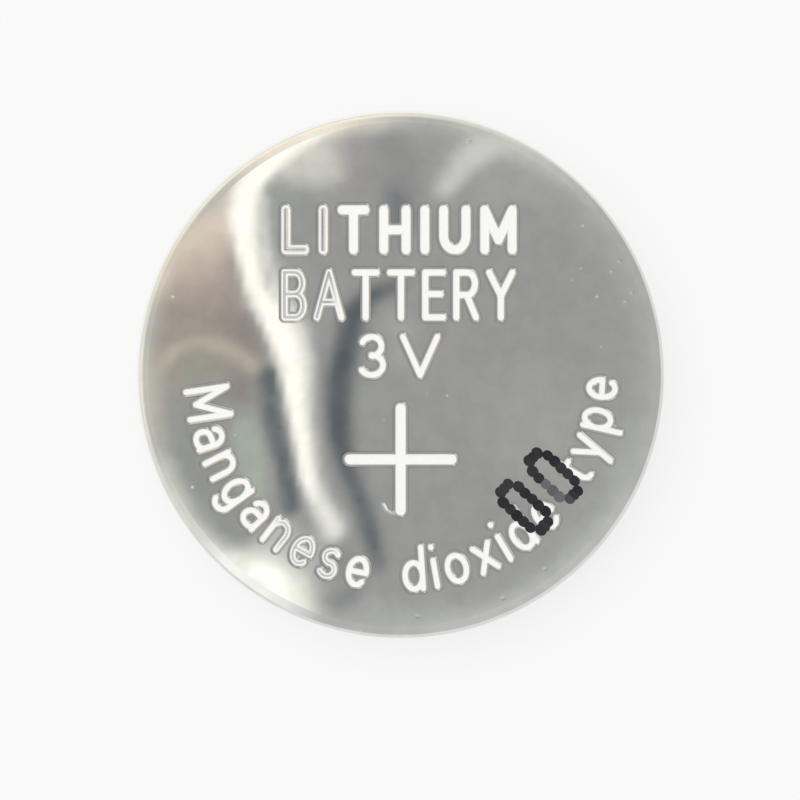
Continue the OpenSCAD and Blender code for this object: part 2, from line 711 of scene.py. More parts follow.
class Lathe:
    """Geometry Nodes that turn a section about the Z axis."""

    def __init__(self, turns: int) -> None:
        """Builds the node tree.

        Args:
            turns: how many steps make a full turn.
        """
        self.turns = turns
        graph, self.sockets = new_group("lathe", "Shell", {
            "Section": "Geometry", "Turns": "Int", "Path radius": "Float", "Finish": "Material",
        })
        self.tree = graph.tree
        given = graph.node("NodeGroupInput").outputs
        profile = graph.node("GeometryNodeMeshToCurve", {0: given["Section"]})
        circle_inputs = {"Resolution": given["Turns"], "Radius": given["Path radius"]}
        circle = graph.node("GeometryNodeCurvePrimitiveCircle", circle_inputs)
        path = graph.node("GeometryNodeSetCurveNormal", {0: circle.outputs[0]}, mode="Z_UP")
        sweep_inputs = {"Curve": path.outputs[0], "Profile Curve": profile.outputs[0]}
        sweep = graph.node("GeometryNodeCurveToMesh", sweep_inputs)
        welded = graph.node("GeometryNodeMergeByDistance", {0: sweep.outputs[0], "Distance": MICRON})
        smooth = graph.node("GeometryNodeSetShadeSmooth", {0: welded.outputs[0]})
        real = graph.node("GeometryNodeRealizeInstances", {0: smooth.outputs[0]})
        dressed = graph.node("GeometryNodeSetMaterial", {0: real.outputs[0], "Material": given["Finish"]})
        graph.node("NodeGroupOutput", {0: dressed.outputs[0]})

    def turn(self, name: str, section: Section, radius: float,
             finish: bpy.types.Material) -> bpy.types.Object:
        """Turns one section into a closed shell.

        Args:
            name: the piece's name.
            section: its outline, whose outer side lies to the left of the way that it runs.
            radius: radius of the circle that the section is swept along.
            finish: its material.

        Returns:
            The piece, as a plain mesh with its place in its vertices.
        """
        # The sweep lays the section's X outwards and its Y downwards
        places = [((r - radius) * MM, -z * MM, 0.0) for r, z in section.points]
        count = len(places)
        edges = [(i, (i + 1) % count) for i in range(count if section.closed else count - 1)]
        outline = bpy.data.meshes.new(name + "_section")
        outline.from_pydata(places, edges, [])
        return grown(name, outline, self.tree, {
            self.sockets["Turns"]: self.turns,
            self.sockets["Path radius"]: radius * MM,
            self.sockets["Finish"]: finish,
        })


def grown(name: str, seed: bpy.types.Mesh, tree: bpy.types.NodeTree, values: dict) -> bpy.types.Object:
    """Runs a Geometry Nodes tree on a mesh and keeps the result as a plain mesh.

    Args:
        name: the new object's name.
        seed: the mesh that the tree starts from.
        tree: the node tree.
        values: what goes into the modifier's inputs, by the socket's identifier.

    Returns:
        An object at the origin with no modifiers.
    """
    piece = bpy.data.objects.new(name, seed)
    bpy.context.scene.collection.objects.link(piece)
    modifier = piece.modifiers.new("nodes", "NODES")
    modifier.node_group = tree
    for identifier, value in values.items():
        modifier[identifier] = value
    evaluated = piece.evaluated_get(bpy.context.evaluated_depsgraph_get())
    mesh = bpy.data.meshes.new_from_object(evaluated)
    mesh.name = name
    piece.modifiers.remove(modifier)
    piece.data = mesh
    bpy.data.meshes.remove(seed)
    return piece


def keep_corners(piece: bpy.types.Object) -> None:
    """Keeps a turned piece's real corners sharp in shading."""
    piece.data.set_sharp_from_angle(angle=math.radians(CORNER_ANGLE))


def vectors(mesh: bpy.types.Mesh, name: str) -> np.ndarray:
    """Reads one vector of each point of a mesh.

    Args:
        mesh: the mesh.
        name: Blender's name for the vector, such as co or normal.

    Returns:
        One row for each point.
    """
    values = np.zeros(len(mesh.vertices) * 3)
    mesh.vertices.foreach_get(name, values)
    return values.reshape(-1, 3)


def mark(mesh: bpy.types.Mesh, name: str, values: np.ndarray) -> None:
    """Gives each point of a mesh a value that nodes can read by name."""
    mesh.attributes.new(name, "FLOAT", "POINT").data.foreach_set("value", values)


def hand_over(piece: bpy.types.Object, slot: str, *nodes: str) -> None:
    """Gives a finished piece to the frame and reports it.

    Args:
        piece: the piece.
        slot: the name of the record's material slot for the piece; not used.
        nodes: the CAD nodes that it stands for.
    """
    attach(piece, BODY)
    if nodes:
        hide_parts(*nodes)
    LOG.info("%s: %d faces", piece.name, len(piece.data.polygons))


def bar(x0: float, y0: float, x1: float, y1: float) -> np.ndarray:
    """Straight stroke from one point to another."""
    return np.array([(x0, y0), (x1, y1)])


def bow(x: float, y: float, rx: float, ry: float, start: float, end: float) -> np.ndarray:
    """Stroke along part of an ellipse.

    Args:
        x: the centre's place to the right.
        y: the centre's place up.
        rx: half the ellipse's width.
        ry: half its height.
        start: angle of the first point, in degrees.
        end: angle of the last point.

    Returns:
        The stroke's points.
    """
    angles = np.radians(np.linspace(start, end, max(FEWEST_STEPS, round(abs(end - start) / BOW_STEP)) + 1))
    return np.stack([x + rx * np.cos(angles), y + ry * np.sin(angles)], axis=1)


def joined(*parts: np.ndarray) -> np.ndarray:
    """One stroke that runs through several."""
    return np.vstack(parts)


@dataclass(frozen=True)
class Glyph:
    """One character, drawn with strokes of the punch.

    Attributes:
        width: distance between the middles of its outermost strokes, in the alphabet's unit.
        strokes: the middles of its strokes, each smooth from end to end.
    """

    width: float
    strokes: tuple[np.ndarray, ...] = ()


# Capitals and figures are one unit high
STEM = bar(0, 0, 0, 1)
CAPITALS = {
    "A": Glyph(0.8, (bar(0, 0, 0.4, 1), bar(0.4, 1, 0.8, 0), bar(0.14, 0.34, 0.66, 0.34))),
    "B": Glyph(0.62, (
        STEM,
        joined(bar(0, 1, 0.34, 1), bow(0.34, 0.76, 0.24, 0.24, 90, -90), bar(0.34, 0.52, 0, 0.52)),
        joined(bar(0, 0.52, 0.36, 0.52), bow(0.36, 0.26, 0.26, 0.26, 90, -90), bar(0.36, 0, 0, 0)),
    )),
    "E": Glyph(0.58, (STEM, bar(0, 1, 0.58, 1), bar(0, 0.52, 0.5, 0.52), bar(0, 0, 0.58, 0))),
    "H": Glyph(0.7, (STEM, bar(0.7, 0, 0.7, 1), bar(0, 0.5, 0.7, 0.5))),
    "I": Glyph(0.0, (STEM,)),
    "L": Glyph(0.58, (STEM, bar(0, 0, 0.58, 0))),
    "M": Glyph(0.86, (
        STEM, bar(0, 1, 0.43, 0.25), bar(0.43, 0.25, 0.86, 1), bar(0.86, 0, 0.86, 1),
    )),
    "R": Glyph(0.64, (
        STEM,
        joined(bar(0, 1, 0.36, 1), bow(0.36, 0.75, 0.25, 0.25, 90, -90), bar(0.36, 0.5, 0, 0.5)),
        bar(0.34, 0.5, 0.64, 0),
    )),
    "T": Glyph(0.72, (bar(0, 1, 0.72, 1), bar(0.36, 0, 0.36, 1))),
    "U": Glyph(0.7, (
        joined(bar(0, 1, 0, 0.35), bow(0.35, 0.35, 0.35, 0.35, 180, 360), bar(0.7, 0.35, 0.7, 1)),
    )),
    "V": Glyph(0.9, (bar(0, 1, 0.45, 0), bar(0.45, 0, 0.9, 1))),
    "Y": Glyph(0.76, (bar(0, 1, 0.38, 0.48), bar(0.38, 0.48, 0.76, 1), bar(0.38, 0, 0.38, 0.48))),
    "3": Glyph(0.58, (bow(0.28, 0.75, 0.26, 0.25, 155, -90), bow(0.28, 0.26, 0.3, 0.26, 90, -150))),
    " ": Glyph(0.1),
}

# Small letters are one unit high, and this high with their stems
TALL = 1.57
ROUND = bow(0.36, 0.5, 0.36, 0.5, 0, 360)
SMALL_LETTERS = {
    "M": Glyph(1.15, (
        bar(0, 0, 0, TALL), bar(0, TALL, 0.575, 0.3), bar(0.575, 0.3, 1.15, TALL), bar(1.15, 0, 1.15, TALL),
    )),
    "a": Glyph(0.68, (
        joined(bow(0.35, 0.66, 0.33, 0.34, 155, 0), bar(0.68, 0.66, 0.68, 0)),
        joined(bar(0.68, 0.58, 0.32, 0.58), bow(0.32, 0.29, 0.32, 0.29, 90, 270), bar(0.32, 0, 0.42, 0),
               bow(0.42, 0.26, 0.26, 0.26, -90, 0)),
    )),
    "d": Glyph(0.72, (ROUND, bar(0.72, 0, 0.72, TALL))),
    "e": Glyph(0.74, (bar(0.02, 0.5, 0.74, 0.5), bow(0.38, 0.5, 0.36, 0.5, 0, 315))),
    "g": Glyph(0.72, (
        ROUND, joined(bar(0.72, 1, 0.72, -0.1), bow(0.38, -0.1, 0.34, 0.34, 0, -150)),
    )),
    "i": Glyph(0.0, (STEM, bar(0, 1.5, 0, 1.52))),
    "n": Glyph(0.7, (STEM, joined(bow(0.35, 0.62, 0.35, 0.38, 180, 0), bar(0.7, 0.62, 0.7, 0)))),
    "o": Glyph(0.76, (bow(0.38, 0.5, 0.38, 0.5, 0, 360),)),
    "p": Glyph(0.72, (ROUND, bar(0, -0.45, 0, 1))),
    "s": Glyph(0.62, (bow(0.32, 0.75, 0.28, 0.25, 40, 270), bow(0.31, 0.26, 0.31, 0.26, 90, -145))),
    "t": Glyph(0.46, (joined(bar(0.18, 1.4, 0.18, 0.26), bow(0.44, 0.26, 0.26, 0.26, 180, 270)),
                      bar(0, 1, 0.46, 1))),
    "x": Glyph(0.68, (bar(0, 0, 0.68, 1), bar(0, 1, 0.68, 0))),
    "y": Glyph(0.72, (bar(0, 1, 0.36, 0.02), bar(0.72, 1, 0.18, -0.45))),
    " ": Glyph(0.55),
}


@dataclass(frozen=True)
class Stroke:
    """One mark in the face, as the middle of a line with round ends.

    Attributes:
        middle: the line's points, in millimetres on the face.
        half_width: half the mark's width.
        depth: how deep it is.
    """

    middle: np.ndarray
    half_width: float
    depth: float

    def closed(self) -> bool:
        """Tells whether the line ends where it starts."""
        return len(self.middle) > 2 and float(np.hypot(*(self.middle[0] - self.middle[-1]))) < TINY

    def even(self, spacing: float) -> np.ndarray:
        """Lays points along the middle at an even spacing.

        Args:
            spacing: the wanted distance between points.

        Returns:
            The points, with both ends kept.
        """
        steps = np.hypot(*np.diff(self.middle, axis=0).T)
        run = np.concatenate([[0.0], np.cumsum(steps)])
        count = max(2, round(run[-1] / spacing) + 1)
        at = np.linspace(0, run[-1], count)
        return np.stack([np.interp(at, run, self.middle[:, k]) for k in (0, 1)], axis=1)

    def outlines(self, offset: float, spacing: float) -> list[np.ndarray]:
        """Draws the lines that lie at a distance from the middle.

        Args:
            offset: that distance.
            spacing: the wanted distance between points.

        Returns:
            One closed line, or two where the middle itself is closed.
        """
        line = self.even(spacing)
        ahead = np.gradient(line, axis=0)
        if self.closed():
            ahead[0] = ahead[-1] = line[1] - line[-2]
        ahead /= np.hypot(*ahead.T)[:, None]
        side = np.stack([-ahead[:, 1], ahead[:, 0]], axis=1)
        if self.closed():
            return [line[:-1] + offset * side[:-1], line[:-1] - offset * side[:-1]]
        return [joined(line + offset * side, self.cap(line[-1], side[-1], offset, spacing),
                       (line - offset * side)[::-1], self.cap(line[0], -side[0], offset, spacing))]

    @staticmethod
    def cap(end: np.ndarray, side: np.ndarray, offset: float, spacing: float) -> np.ndarray:
        """Draws the half circle round an end.

        Args:
            end: the line's end.
            side: the direction of the half circle's first point from it.
            offset: the half circle's radius.
            spacing: the wanted distance between points.

        Returns:
            The points between the two sides, clockwise.
        """
        count = max(FEWEST_STEPS, round(math.pi * offset / spacing))
        turn = -np.pi * np.arange(1, count) / count
        cos, sin = np.cos(turn)[:, None], np.sin(turn)[:, None]
        across = np.array([-side[1], side[0]])
        return end + offset * (cos * side + sin * across)


class Lay(Enum):
    """Ways in which a row of characters runs."""

    STRAIGHT = "straight"
    ROUND_THE_RIM = "round the rim"


@dataclass(frozen=True)
class PunchedRow:
    """Row of punched characters that fills the length between two places.

    Attributes:
        text: the characters.
        alphabet: the glyphs to draw them with.
        unit: height of the alphabet's unit, in millimetres.
        width: width of a stroke, in millimetres.
        start: where the first stroke's middle lies, in millimetres or in degrees round the rim.
        end: where the last stroke's middle lies.
        base: height of the baseline, or its radius where the row runs round the rim.
        squeeze: how much narrower the characters are than in the alphabet.
        lay: how the row runs.
    """

    text: str
    alphabet: dict[str, Glyph]
    unit: float
    width: float
    start: float
    end: float
    base: float
    squeeze: float = 1.0
    lay: Lay = Lay.STRAIGHT

    def strokes(self, depth: float) -> list[Stroke]:
        """Draws the row.

        Args:
            depth: how deep the punch went.

        Returns:
            Its strokes, in place on the face.
        """
        scale = np.array([self.unit * self.squeeze, self.unit])
        widths = [self.alphabet[c].width * scale[0] for c in self.text]
        length = self.end - self.start
        if self.lay is Lay.ROUND_THE_RIM:
            # The spacing is even halfway up the letters
            length = math.radians(length) * (self.base - self.unit / 2)
        gap = (length - sum(widths)) / (len(self.text) - 1)
        made, run = [], 0.0
        for character, width in zip(self.text, widths):
            for line in self.alphabet[character].strokes:
                local = line * scale - np.array([width / 2, 0.0])
                made.append(Stroke(self.place(local, run + width / 2), self.width / 2, depth))
            run += width + gap
        return made

    def place(self, local: np.ndarray, run: float) -> np.ndarray:
        """Sets one character's line in its place.

        Args:
            local: the line's points from the middle of the character's baseline.
            run: how far along the row that middle is.

        Returns:
            The points on the face.
        """
        if self.lay is Lay.STRAIGHT:
            return local + np.array([self.start + run, self.base])
        angle = math.radians(self.start) + run / (self.base - self.unit / 2)
        out = np.array([math.cos(angle), math.sin(angle)])
        across = np.array([-out[1], out[0]])
        return out * self.base + local[:, :1] * across - local[:, 1:] * out


@dataclass(frozen=True)
class Probe:
    """What the punched strokes do at some points of the face.

    Attributes:
        distance: millimetres outside the nearest stroke's edge, or minus that inside it.
        inward: 0 on that edge and 1 on the stroke's middle.
        away: unit direction from the nearest stroke's middle.
        depth: how deep the nearest stroke is.
    """

    distance: np.ndarray
    inward: np.ndarray
    away: np.ndarray
    depth: np.ndarray


@dataclass(frozen=True)
class Relief:
    """The face's form at some points.

    Attributes:
        height: heights, in millimetres.
        normal: unit normals.
        struck: from 0 on the face to 1 on a stroke's floor.
        lip: 1 on the rounded lip of a stroke, where painted shade darkens it, and 0 away from it.
    """

    height: np.ndarray
    normal: np.ndarray
    struck: np.ndarray
    lip: np.ndarray


@dataclass(frozen=True)
class Frosting:
    """How the punch has frosted the steel, and where painted shade darkens the strokes' lips, in
    millimetres unless said otherwise.

    Attributes:
        full_depth: depth from which a stroke is fully frosted, and its lip gets painted shade.
        least: share of the frosting that the shallowest stroke has.
        start: how far inside a stroke's edge the frosting starts.
        blur: width of the frosting's soft edge.
        shade: how far outside a stroke's edge the lip's painted shade starts.
        shade_blur: width of the shade's soft edge.
        core: where a floor's middle part starts, with 0 on the stroke's edge and 1 on its middle.
        core_blur: how softly that part starts.
        rubbed: the stretch from left to right where the floors have been rubbed bright.
        rub_blur: width of that stretch's soft ends.
    """

    full_depth: float = 0.02
    least: float = 0.5
    start: float = 0.01
    blur: float = 0.05
    shade: float = 0.1
    shade_blur: float = 0.07
    core: float = 0.6
    core_blur: float = 0.3
    rubbed: tuple[float, float] = (-4.9, -2.2)
    rub_blur: float = 0.5

    def marks(self, found: Probe, across: np.ndarray) -> tuple[np.ndarray, np.ndarray]:
        """Works out where the steel is frosted and where painted shade darkens a stroke's lip.

        Args:
            found: what the strokes do at some points.
            across: how far to the right of the face's middle those points lie.

        Returns:
            The share of frosting and the share of painted shade at each point.
        """
        inside = -found.distance
        share = np.clip(found.depth / self.full_depth, self.least, 1) * (found.depth > 0)
        left, right = self.rubbed
        bright = ramp((across - left) / self.rub_blur) * ramp((right - across) / self.rub_blur)
        floor = ramp((found.inward - self.core) / self.core_blur)
        struck = ramp((inside - self.start) / self.blur) * share * (1 - bright * floor)
        # Painted shade: the lip round each deep stroke is marked for darkening in the material
        lip = ramp((inside + self.shade) / self.shade_blur) * (1 - floor)
        return struck, lip * (found.depth > self.full_depth)


@dataclass(frozen=True)
class Meshing:
    """How finely the punched face is cut into triangles, in millimetres.

    Attributes:
        spacing: distance between the points along a stroke's edge.
        wall_lines: how many level lines run down a stroke's wall.
        outer_line: how far outside the wall one more line runs.
        core_line: how far from a stroke's middle its innermost line runs.
        thinnest: distance from a stroke's middle under which no line is drawn.
        slack: how far a point may lie from its line's level, past which it is another stroke's.
        rings: insets of the rings of points inside the flat's edge.
        grid: distance between the points of the plain stretches.
        edge_margin: how far those points stay from the flat's edge.
        stroke_margin: how far they stay from a stroke's edge.
        join: distance at which two points are made one.
    """

    spacing: float = 0.07
    wall_lines: int = 7
    outer_line: float = 0.05
    core_line: float = 0.03
    thinnest: float = 0.02
    slack: float = 0.004
    rings: tuple[float, ...] = (0.08, 0.2, 0.4)
    grid: float = 0.4
    edge_margin: float = 0.6
    stroke_margin: float = 0.2
    join: float = 0.00001


@dataclass
class PunchedFace:
    """Everything that is struck or worn into the flat of the positive face.

    Attributes:
        radius: radius of the flat.
        height: height of the flat's edge.
        dip: how far the middle lies below the edge, which leaves room for the film of ink.
        depth: depth of the punching.
        lip: how far outside a stroke's edge the surface starts to fall.
        toe: how far inside the edge it reaches the floor.
        hollow: slope of a stroke's floor at its sides, in shading only.
        reach: how far from a stroke's edge its distance is measured.
        plus_span: length of the plus's bars.
        plus_width: width of its bars.
        plus_place: its middle.
        scratch_width: width of the hooked scratch.
        scratch_depth: depth of the scratch.
        pit_width: width of a pit.
        pit_length: how far a pit's middle is drawn out.
        pit_depth: depth of a pit.
        frosting: how the steel looks where it is struck, and where painted shade darkens the strokes' lips.
        meshing: how finely the face is cut into triangles.
        strokes: everything that is drawn.
    """

    radius: float
    height: float
    dip: float = 0.003
    depth: float = 0.05
    lip: float = 0.05
    toe: float = 0.09
    hollow: float = 0.03
    reach: float = 0.4
    plus_span: float = 4.3
    plus_width: float = 0.46
    plus_place: Point = (0.0, -3.2)
    scratch_width: float = 0.1
    scratch_depth: float = 0.012
    pit_width: float = 0.12
    pit_length: float = 0.02
    pit_depth: float = 0.0014
    frosting: Frosting = Frosting()
    meshing: Meshing = Meshing()
    strokes: list[Stroke] = field(default_factory=list)

    # The worn places in the photograph
    SCRATCH_PX = ((383, 504), (386, 510), (391, 513), (396, 512))
    PITS_PX = ((583, 200), (582, 226), (618, 262), (610, 272), (580, 269), (571, 281), (630, 293),
               (624, 302), (600, 347), (468, 143), (417, 615), (502, 597), (544, 568))

    def __post_init__(self) -> None:
        """Draws all the strokes."""
        for row in self.rows():
            self.strokes += row.strokes(self.depth)
        self.strokes += self.plus()
        self.strokes += self.wear()

    def rows(self) -> list[PunchedRow]:
        """Lists the rows of characters, where the photograph has its rows.

        Returns:
            Three straight rows and the one round the rim.
        """
        return [
            PunchedRow("LITHIUM", CAPITALS, unit=1.5, width=0.42, start=-4.32, end=4.2, base=4.7,
                       squeeze=0.8),
            PunchedRow("BATTERY", CAPITALS, unit=1.69, width=0.32, start=-4.37, end=4.21, base=2.15,
                       squeeze=0.68),
            PunchedRow("3 V", CAPITALS, unit=1.44, width=0.3, start=-1.5, end=1.38, base=-0.02),
            PunchedRow("Manganese dioxide type", SMALL_LETTERS, unit=0.99, width=0.29, start=184.5,
                       end=358.5, base=8.1, squeeze=0.92, lay=Lay.ROUND_THE_RIM),
        ]

    def plus(self) -> list[Stroke]:
        """Draws the plus, with the size and place that its stamping has.

        Returns:
            The two bars' strokes.
        """
        reach = (self.plus_span - self.plus_width) / 2
        x, y = self.plus_place
        bars = (bar(x - reach, y, x + reach, y), bar(x, y - reach, x, y + reach))
        return [Stroke(line, self.plus_width / 2, self.depth) for line in bars]

    def wear(self) -> list[Stroke]:
        """Draws the hooked scratch beside the plus and the larger pits.

        Returns:
            Their strokes, which are much shallower than the punching.
        """
        scratch = np.array([from_photo(*place) for place in self.SCRATCH_PX])
        made = [Stroke(scratch, self.scratch_width / 2, self.scratch_depth)]
        for place in self.PITS_PX:
            x, y = from_photo(*place)
            made.append(Stroke(bar(x, y, x + self.pit_length, y), self.pit_width / 2, self.pit_depth))
        return made

    def probe(self, points: np.ndarray) -> Probe:
        """Measures how some points lie to the strokes.

        Args:
            points: places on the face.

        Returns:
            What the strokes do there.
        """
        distance = np.full(len(points), self.reach)
        inward = np.full(len(points), -1.0)
        away = np.zeros((len(points), 2))
        away[:, 0] = 1.0
        depth = np.zeros(len(points))
        for stroke in self.strokes:
            line = stroke.middle
            margin = self.reach + stroke.half_width
            near = np.all((points > line.min(0) - margin) & (points < line.max(0) + margin), axis=1)
            chosen = np.flatnonzero(near)
            if not len(chosen):
                continue
            apart = self.from_line(points[chosen], line)
            length = np.hypot(*apart.T)
            better = length - stroke.half_width < distance[chosen]
            chosen, apart, length = chosen[better], apart[better], length[better]
            distance[chosen] = length - stroke.half_width
            inward[chosen] = 1 - length / stroke.half_width
            away[chosen] = apart / np.maximum(length, TINY)[:, None]
            depth[chosen] = stroke.depth
        return Probe(distance, inward, away, depth)

    @staticmethod
    def from_line(points: np.ndarray, line: np.ndarray) -> np.ndarray:
        """Finds the shortest way from a line to each point.

        Args:
            points: the points.
            line: the line's own points.

        Returns:
            The vector to each point from the nearest place on the line.
        """
        start, step = line[:-1], np.diff(line, axis=0)
        square = np.maximum((step ** 2).sum(1), TINY ** 2)
        gap = points[:, None, :] - start[None]
        share = np.clip((gap * step[None]).sum(2) / square, 0, 1)
        apart = gap - share[..., None] * step[None]
        nearest = (apart ** 2).sum(2).argmin(1)
        return apart[np.arange(len(points)), nearest]

    def relief(self, points: np.ndarray) -> Relief:
        """Works out the face's form.

        Args:
            points: places on the face.

        Returns:
            Its height, its normal and the strokes' floors and lips there.
        """
        found = self.probe(points)
        inside = -found.distance
        wall = self.lip + self.toe
        fall = (self.lip + inside) / wall
        tilt = found.depth * ramp_slope(fall) / wall
        tilt += self.hollow * ramp(2 * inside / self.toe - 1) * (found.depth > self.frosting.full_depth)
        # The dish's own slope is the derivative of its height
        rim = (points ** 2).sum(1) / self.radius ** 2
        slope = tilt[:, None] * found.away + (6 * self.dip * rim ** 2 / self.radius ** 2)[:, None] * points
        height = self.dished(points) - found.depth * ramp(fall)
        normal = np.column_stack([-slope, np.ones(len(points))])
        normal /= np.sqrt((normal ** 2).sum(1))[:, None]
        struck, lip = self.frosting.marks(found, points[:, 0])
        return Relief(height, normal, struck, lip)

    def dished(self, points: np.ndarray) -> np.ndarray:
        """Height of the face at some points, before it was punched."""
        rim = (points ** 2).sum(1) / self.radius ** 2
        return self.height - self.dip * (1 - rim ** 3)

    def layout(self, turns: int) -> tuple[np.ndarray, list[tuple[int, int]]]:
        """Chooses the points and edges that the face's triangles keep.

        Args:
            turns: how many points the edge of the flat has.

        Returns:
            The points, and pairs of points that an edge joins.
        """
        cut = self.meshing
        turn = 2 * np.pi * np.arange(turns) / turns
        circle = np.stack([np.cos(turn), np.sin(turn)], axis=1)
        groups = [circle * (self.radius - inset) for inset in (0.0, *cut.rings)]
        edges = [(i, (i + 1) % turns) for i in range(turns)]
        spread = np.arange(-self.radius, self.radius, cut.grid)
        grid = np.stack(np.meshgrid(spread, spread), axis=-1).reshape(-1, 2)
        clear = np.hypot(*grid.T) < self.radius - cut.edge_margin
        clear &= self.probe(grid).distance > cut.stroke_margin
        groups.append(grid[clear])
        count = sum(len(g) for g in groups)
        for line, level in self.contours():
            kept = np.abs(self.probe(line).distance - level) < cut.slack
            kept &= np.hypot(*line.T) < self.radius - cut.spacing
            number = count + np.cumsum(kept) - 1
            following = np.roll(kept, -1) & kept
            after = np.roll(number, -1)
            edges += [(int(a), int(b)) for a, b in zip(number[following], after[following]) if a != b]
            groups.append(line[kept])
            count += int(kept.sum())
        return np.vstack(groups), edges

    def contours(self) -> list[tuple[np.ndarray, float]]:
        """Draws the level lines of every stroke's wall.

        Returns:
            Closed lines, each with its distance outside the stroke's edge.
        """
        cut = self.meshing
        wall = self.lip - (self.lip + self.toe) * np.linspace(0, 1, cut.wall_lines)
        made = []
        for stroke in self.strokes:
            for level in (self.lip + cut.outer_line, *wall, cut.core_line - stroke.half_width):
                offset = stroke.half_width + level
                if offset > cut.thinnest:
                    made += [(line, level) for line in stroke.outlines(offset, cut.spacing)]
        return made

    def mesh(self, turns: int) -> tuple[np.ndarray, list[list[int]]]:
        """Triangulates the face.

        Args:
            turns: how many points the edge of the flat has.

        Returns:
            The vertices in millimetres, and the triangles.
        """
        points, edges = self.layout(turns)
        places = [tuple(p) for p in points]
        flat, _, faces, *_ = delaunay_2d_cdt(places, edges, [], 0, self.meshing.join, False)
        kept = np.array([tuple(p) for p in flat])
        return np.column_stack([kept, self.relief(kept).height]), [list(f) for f in faces]


@dataclass
class PositiveCan:
    """Drawn can with its punched face, crimped in over the gasket.

    Attributes:
        sheet: thickness of its sheet.
        corner_r: outside radius of the bend round the face.
        crimp_r: outside radius of the crimp.
        edge_skip: degrees at each end of the sheet's round edge that have no points of their own.
        turns: how many steps make a full turn.
        tolerance: distance within which a point of the face is the shell's own.
    """

    sheet: float = 0.25
    corner_r: float = 0.5
    crimp_r: float = 1.0
    edge_skip: float = 15.0
    turns: int = 256
    tolerance: float = 0.001

    def __post_init__(self) -> None:
        """Reads the can's outer sizes from the frame and places the centres of its bends."""
        low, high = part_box("positive_can")
        self.radius = in_mm(high.x)
        self.height = in_mm(high.z)
        self.low = in_mm(low.z)
        self.edge_r = self.sheet / 2
        self.corner_centre = (self.radius - self.corner_r, self.height - self.corner_r)
        self.crimp_centre = (self.radius - self.crimp_r, self.low + self.crimp_r)
        self.edge_centre = (self.radius - self.crimp_r, self.low + self.edge_r)
        self.face = PunchedFace(self.radius - self.corner_r, self.height)

    def section(self) -> Section:
        """Draws the can in section, from the edge of the flat round to the middle of its inside.

        Returns:
            The open section.
        """
        made = Section().bend(*self.corner_centre, self.corner_r, 90, 0)
        made.bend(*self.crimp_centre, self.crimp_r, 0, -90)
        made.bend(*self.edge_centre, self.edge_r, -90 - self.edge_skip, -270 + self.edge_skip)
        made.bend(*self.crimp_centre, self.crimp_r - self.sheet, -90, 0)
        made.bend(*self.corner_centre, self.corner_r - self.sheet, 0, 90)
        return made.to(0, self.height - self.sheet)

    def build(self, lathe: Lathe, steel: bpy.types.Material) -> None:
        """Turns the shell, sets the punched face in it and hands the can over.

        Args:
            lathe: the lathe that turns the shell.
            steel: the can's material.
        """
        shell = lathe.turn("positive_can_shell", self.section(), self.radius, steel)
        places = vectors(shell.data, "co") / MM
        sides = [list(p.vertices) for p in shell.data.polygons]
        face_places, triangles = self.face.mesh(self.turns)
        number = self.seat(places, face_places)
        kept = number < 0
        number[kept] = len(places) + np.arange(int(kept.sum()))
        places = np.vstack([places, face_places[kept]])
        faces = sides + [[int(number[i]) for i in t] for t in triangles]
        mesh = bpy.data.meshes.new("positive_can_shell")
        mesh.from_pydata((places * MM).tolist(), [], faces)
        mesh.materials.append(steel)
        mesh.shade_smooth()
        self.finish_points(mesh, places)
        shell.data = mesh
        hand_over(shell, "can_steel", "positive_can")

    def seat(self, shell: np.ndarray, face: np.ndarray) -> np.ndarray:
        """Pairs the points of the flat's edge with the shell's own.

        Args:
            shell: the shell's vertices.
            face: the face's vertices.

        Returns:
            For each vertex of the face, the shell's vertex that it shares, or -1.
        """
        top = np.flatnonzero(shell[:, 2] > self.height - self.tolerance)
        radii = np.hypot(face[:, 0], face[:, 1])
        number = np.full(len(face), -1)
        for i in np.flatnonzero(radii > self.face.radius - self.tolerance):
            number[i] = top[np.hypot(*(shell[top, :2] - face[i, :2]).T).argmin()]
        return number

    def finish_points(self, mesh: bpy.types.Mesh, places: np.ndarray) -> None:
        """Sets each point's exact normal and its marks.

        Args:
            mesh: the can's mesh.
            places: its vertices, in millimetres.
        """
        normals = vectors(mesh, "normal")
        outside = np.flatnonzero(places[:, 2] > self.height - self.sheet / 2)
        radii = np.hypot(places[outside, 0], places[outside, 1])
        flat = outside[radii < self.face.radius + self.tolerance]
        relief = self.face.relief(places[flat, :2])
        normals[flat] = relief.normal
        mesh.normals_split_custom_set_from_vertices(normals.tolist())
        # The lip mark carries the painted shade round each stroke
        for name, values in (("struck", relief.struck), ("lip", relief.lip)):
            marks = np.zeros(len(places))
            marks[flat] = values
            mark(mesh, name, marks)


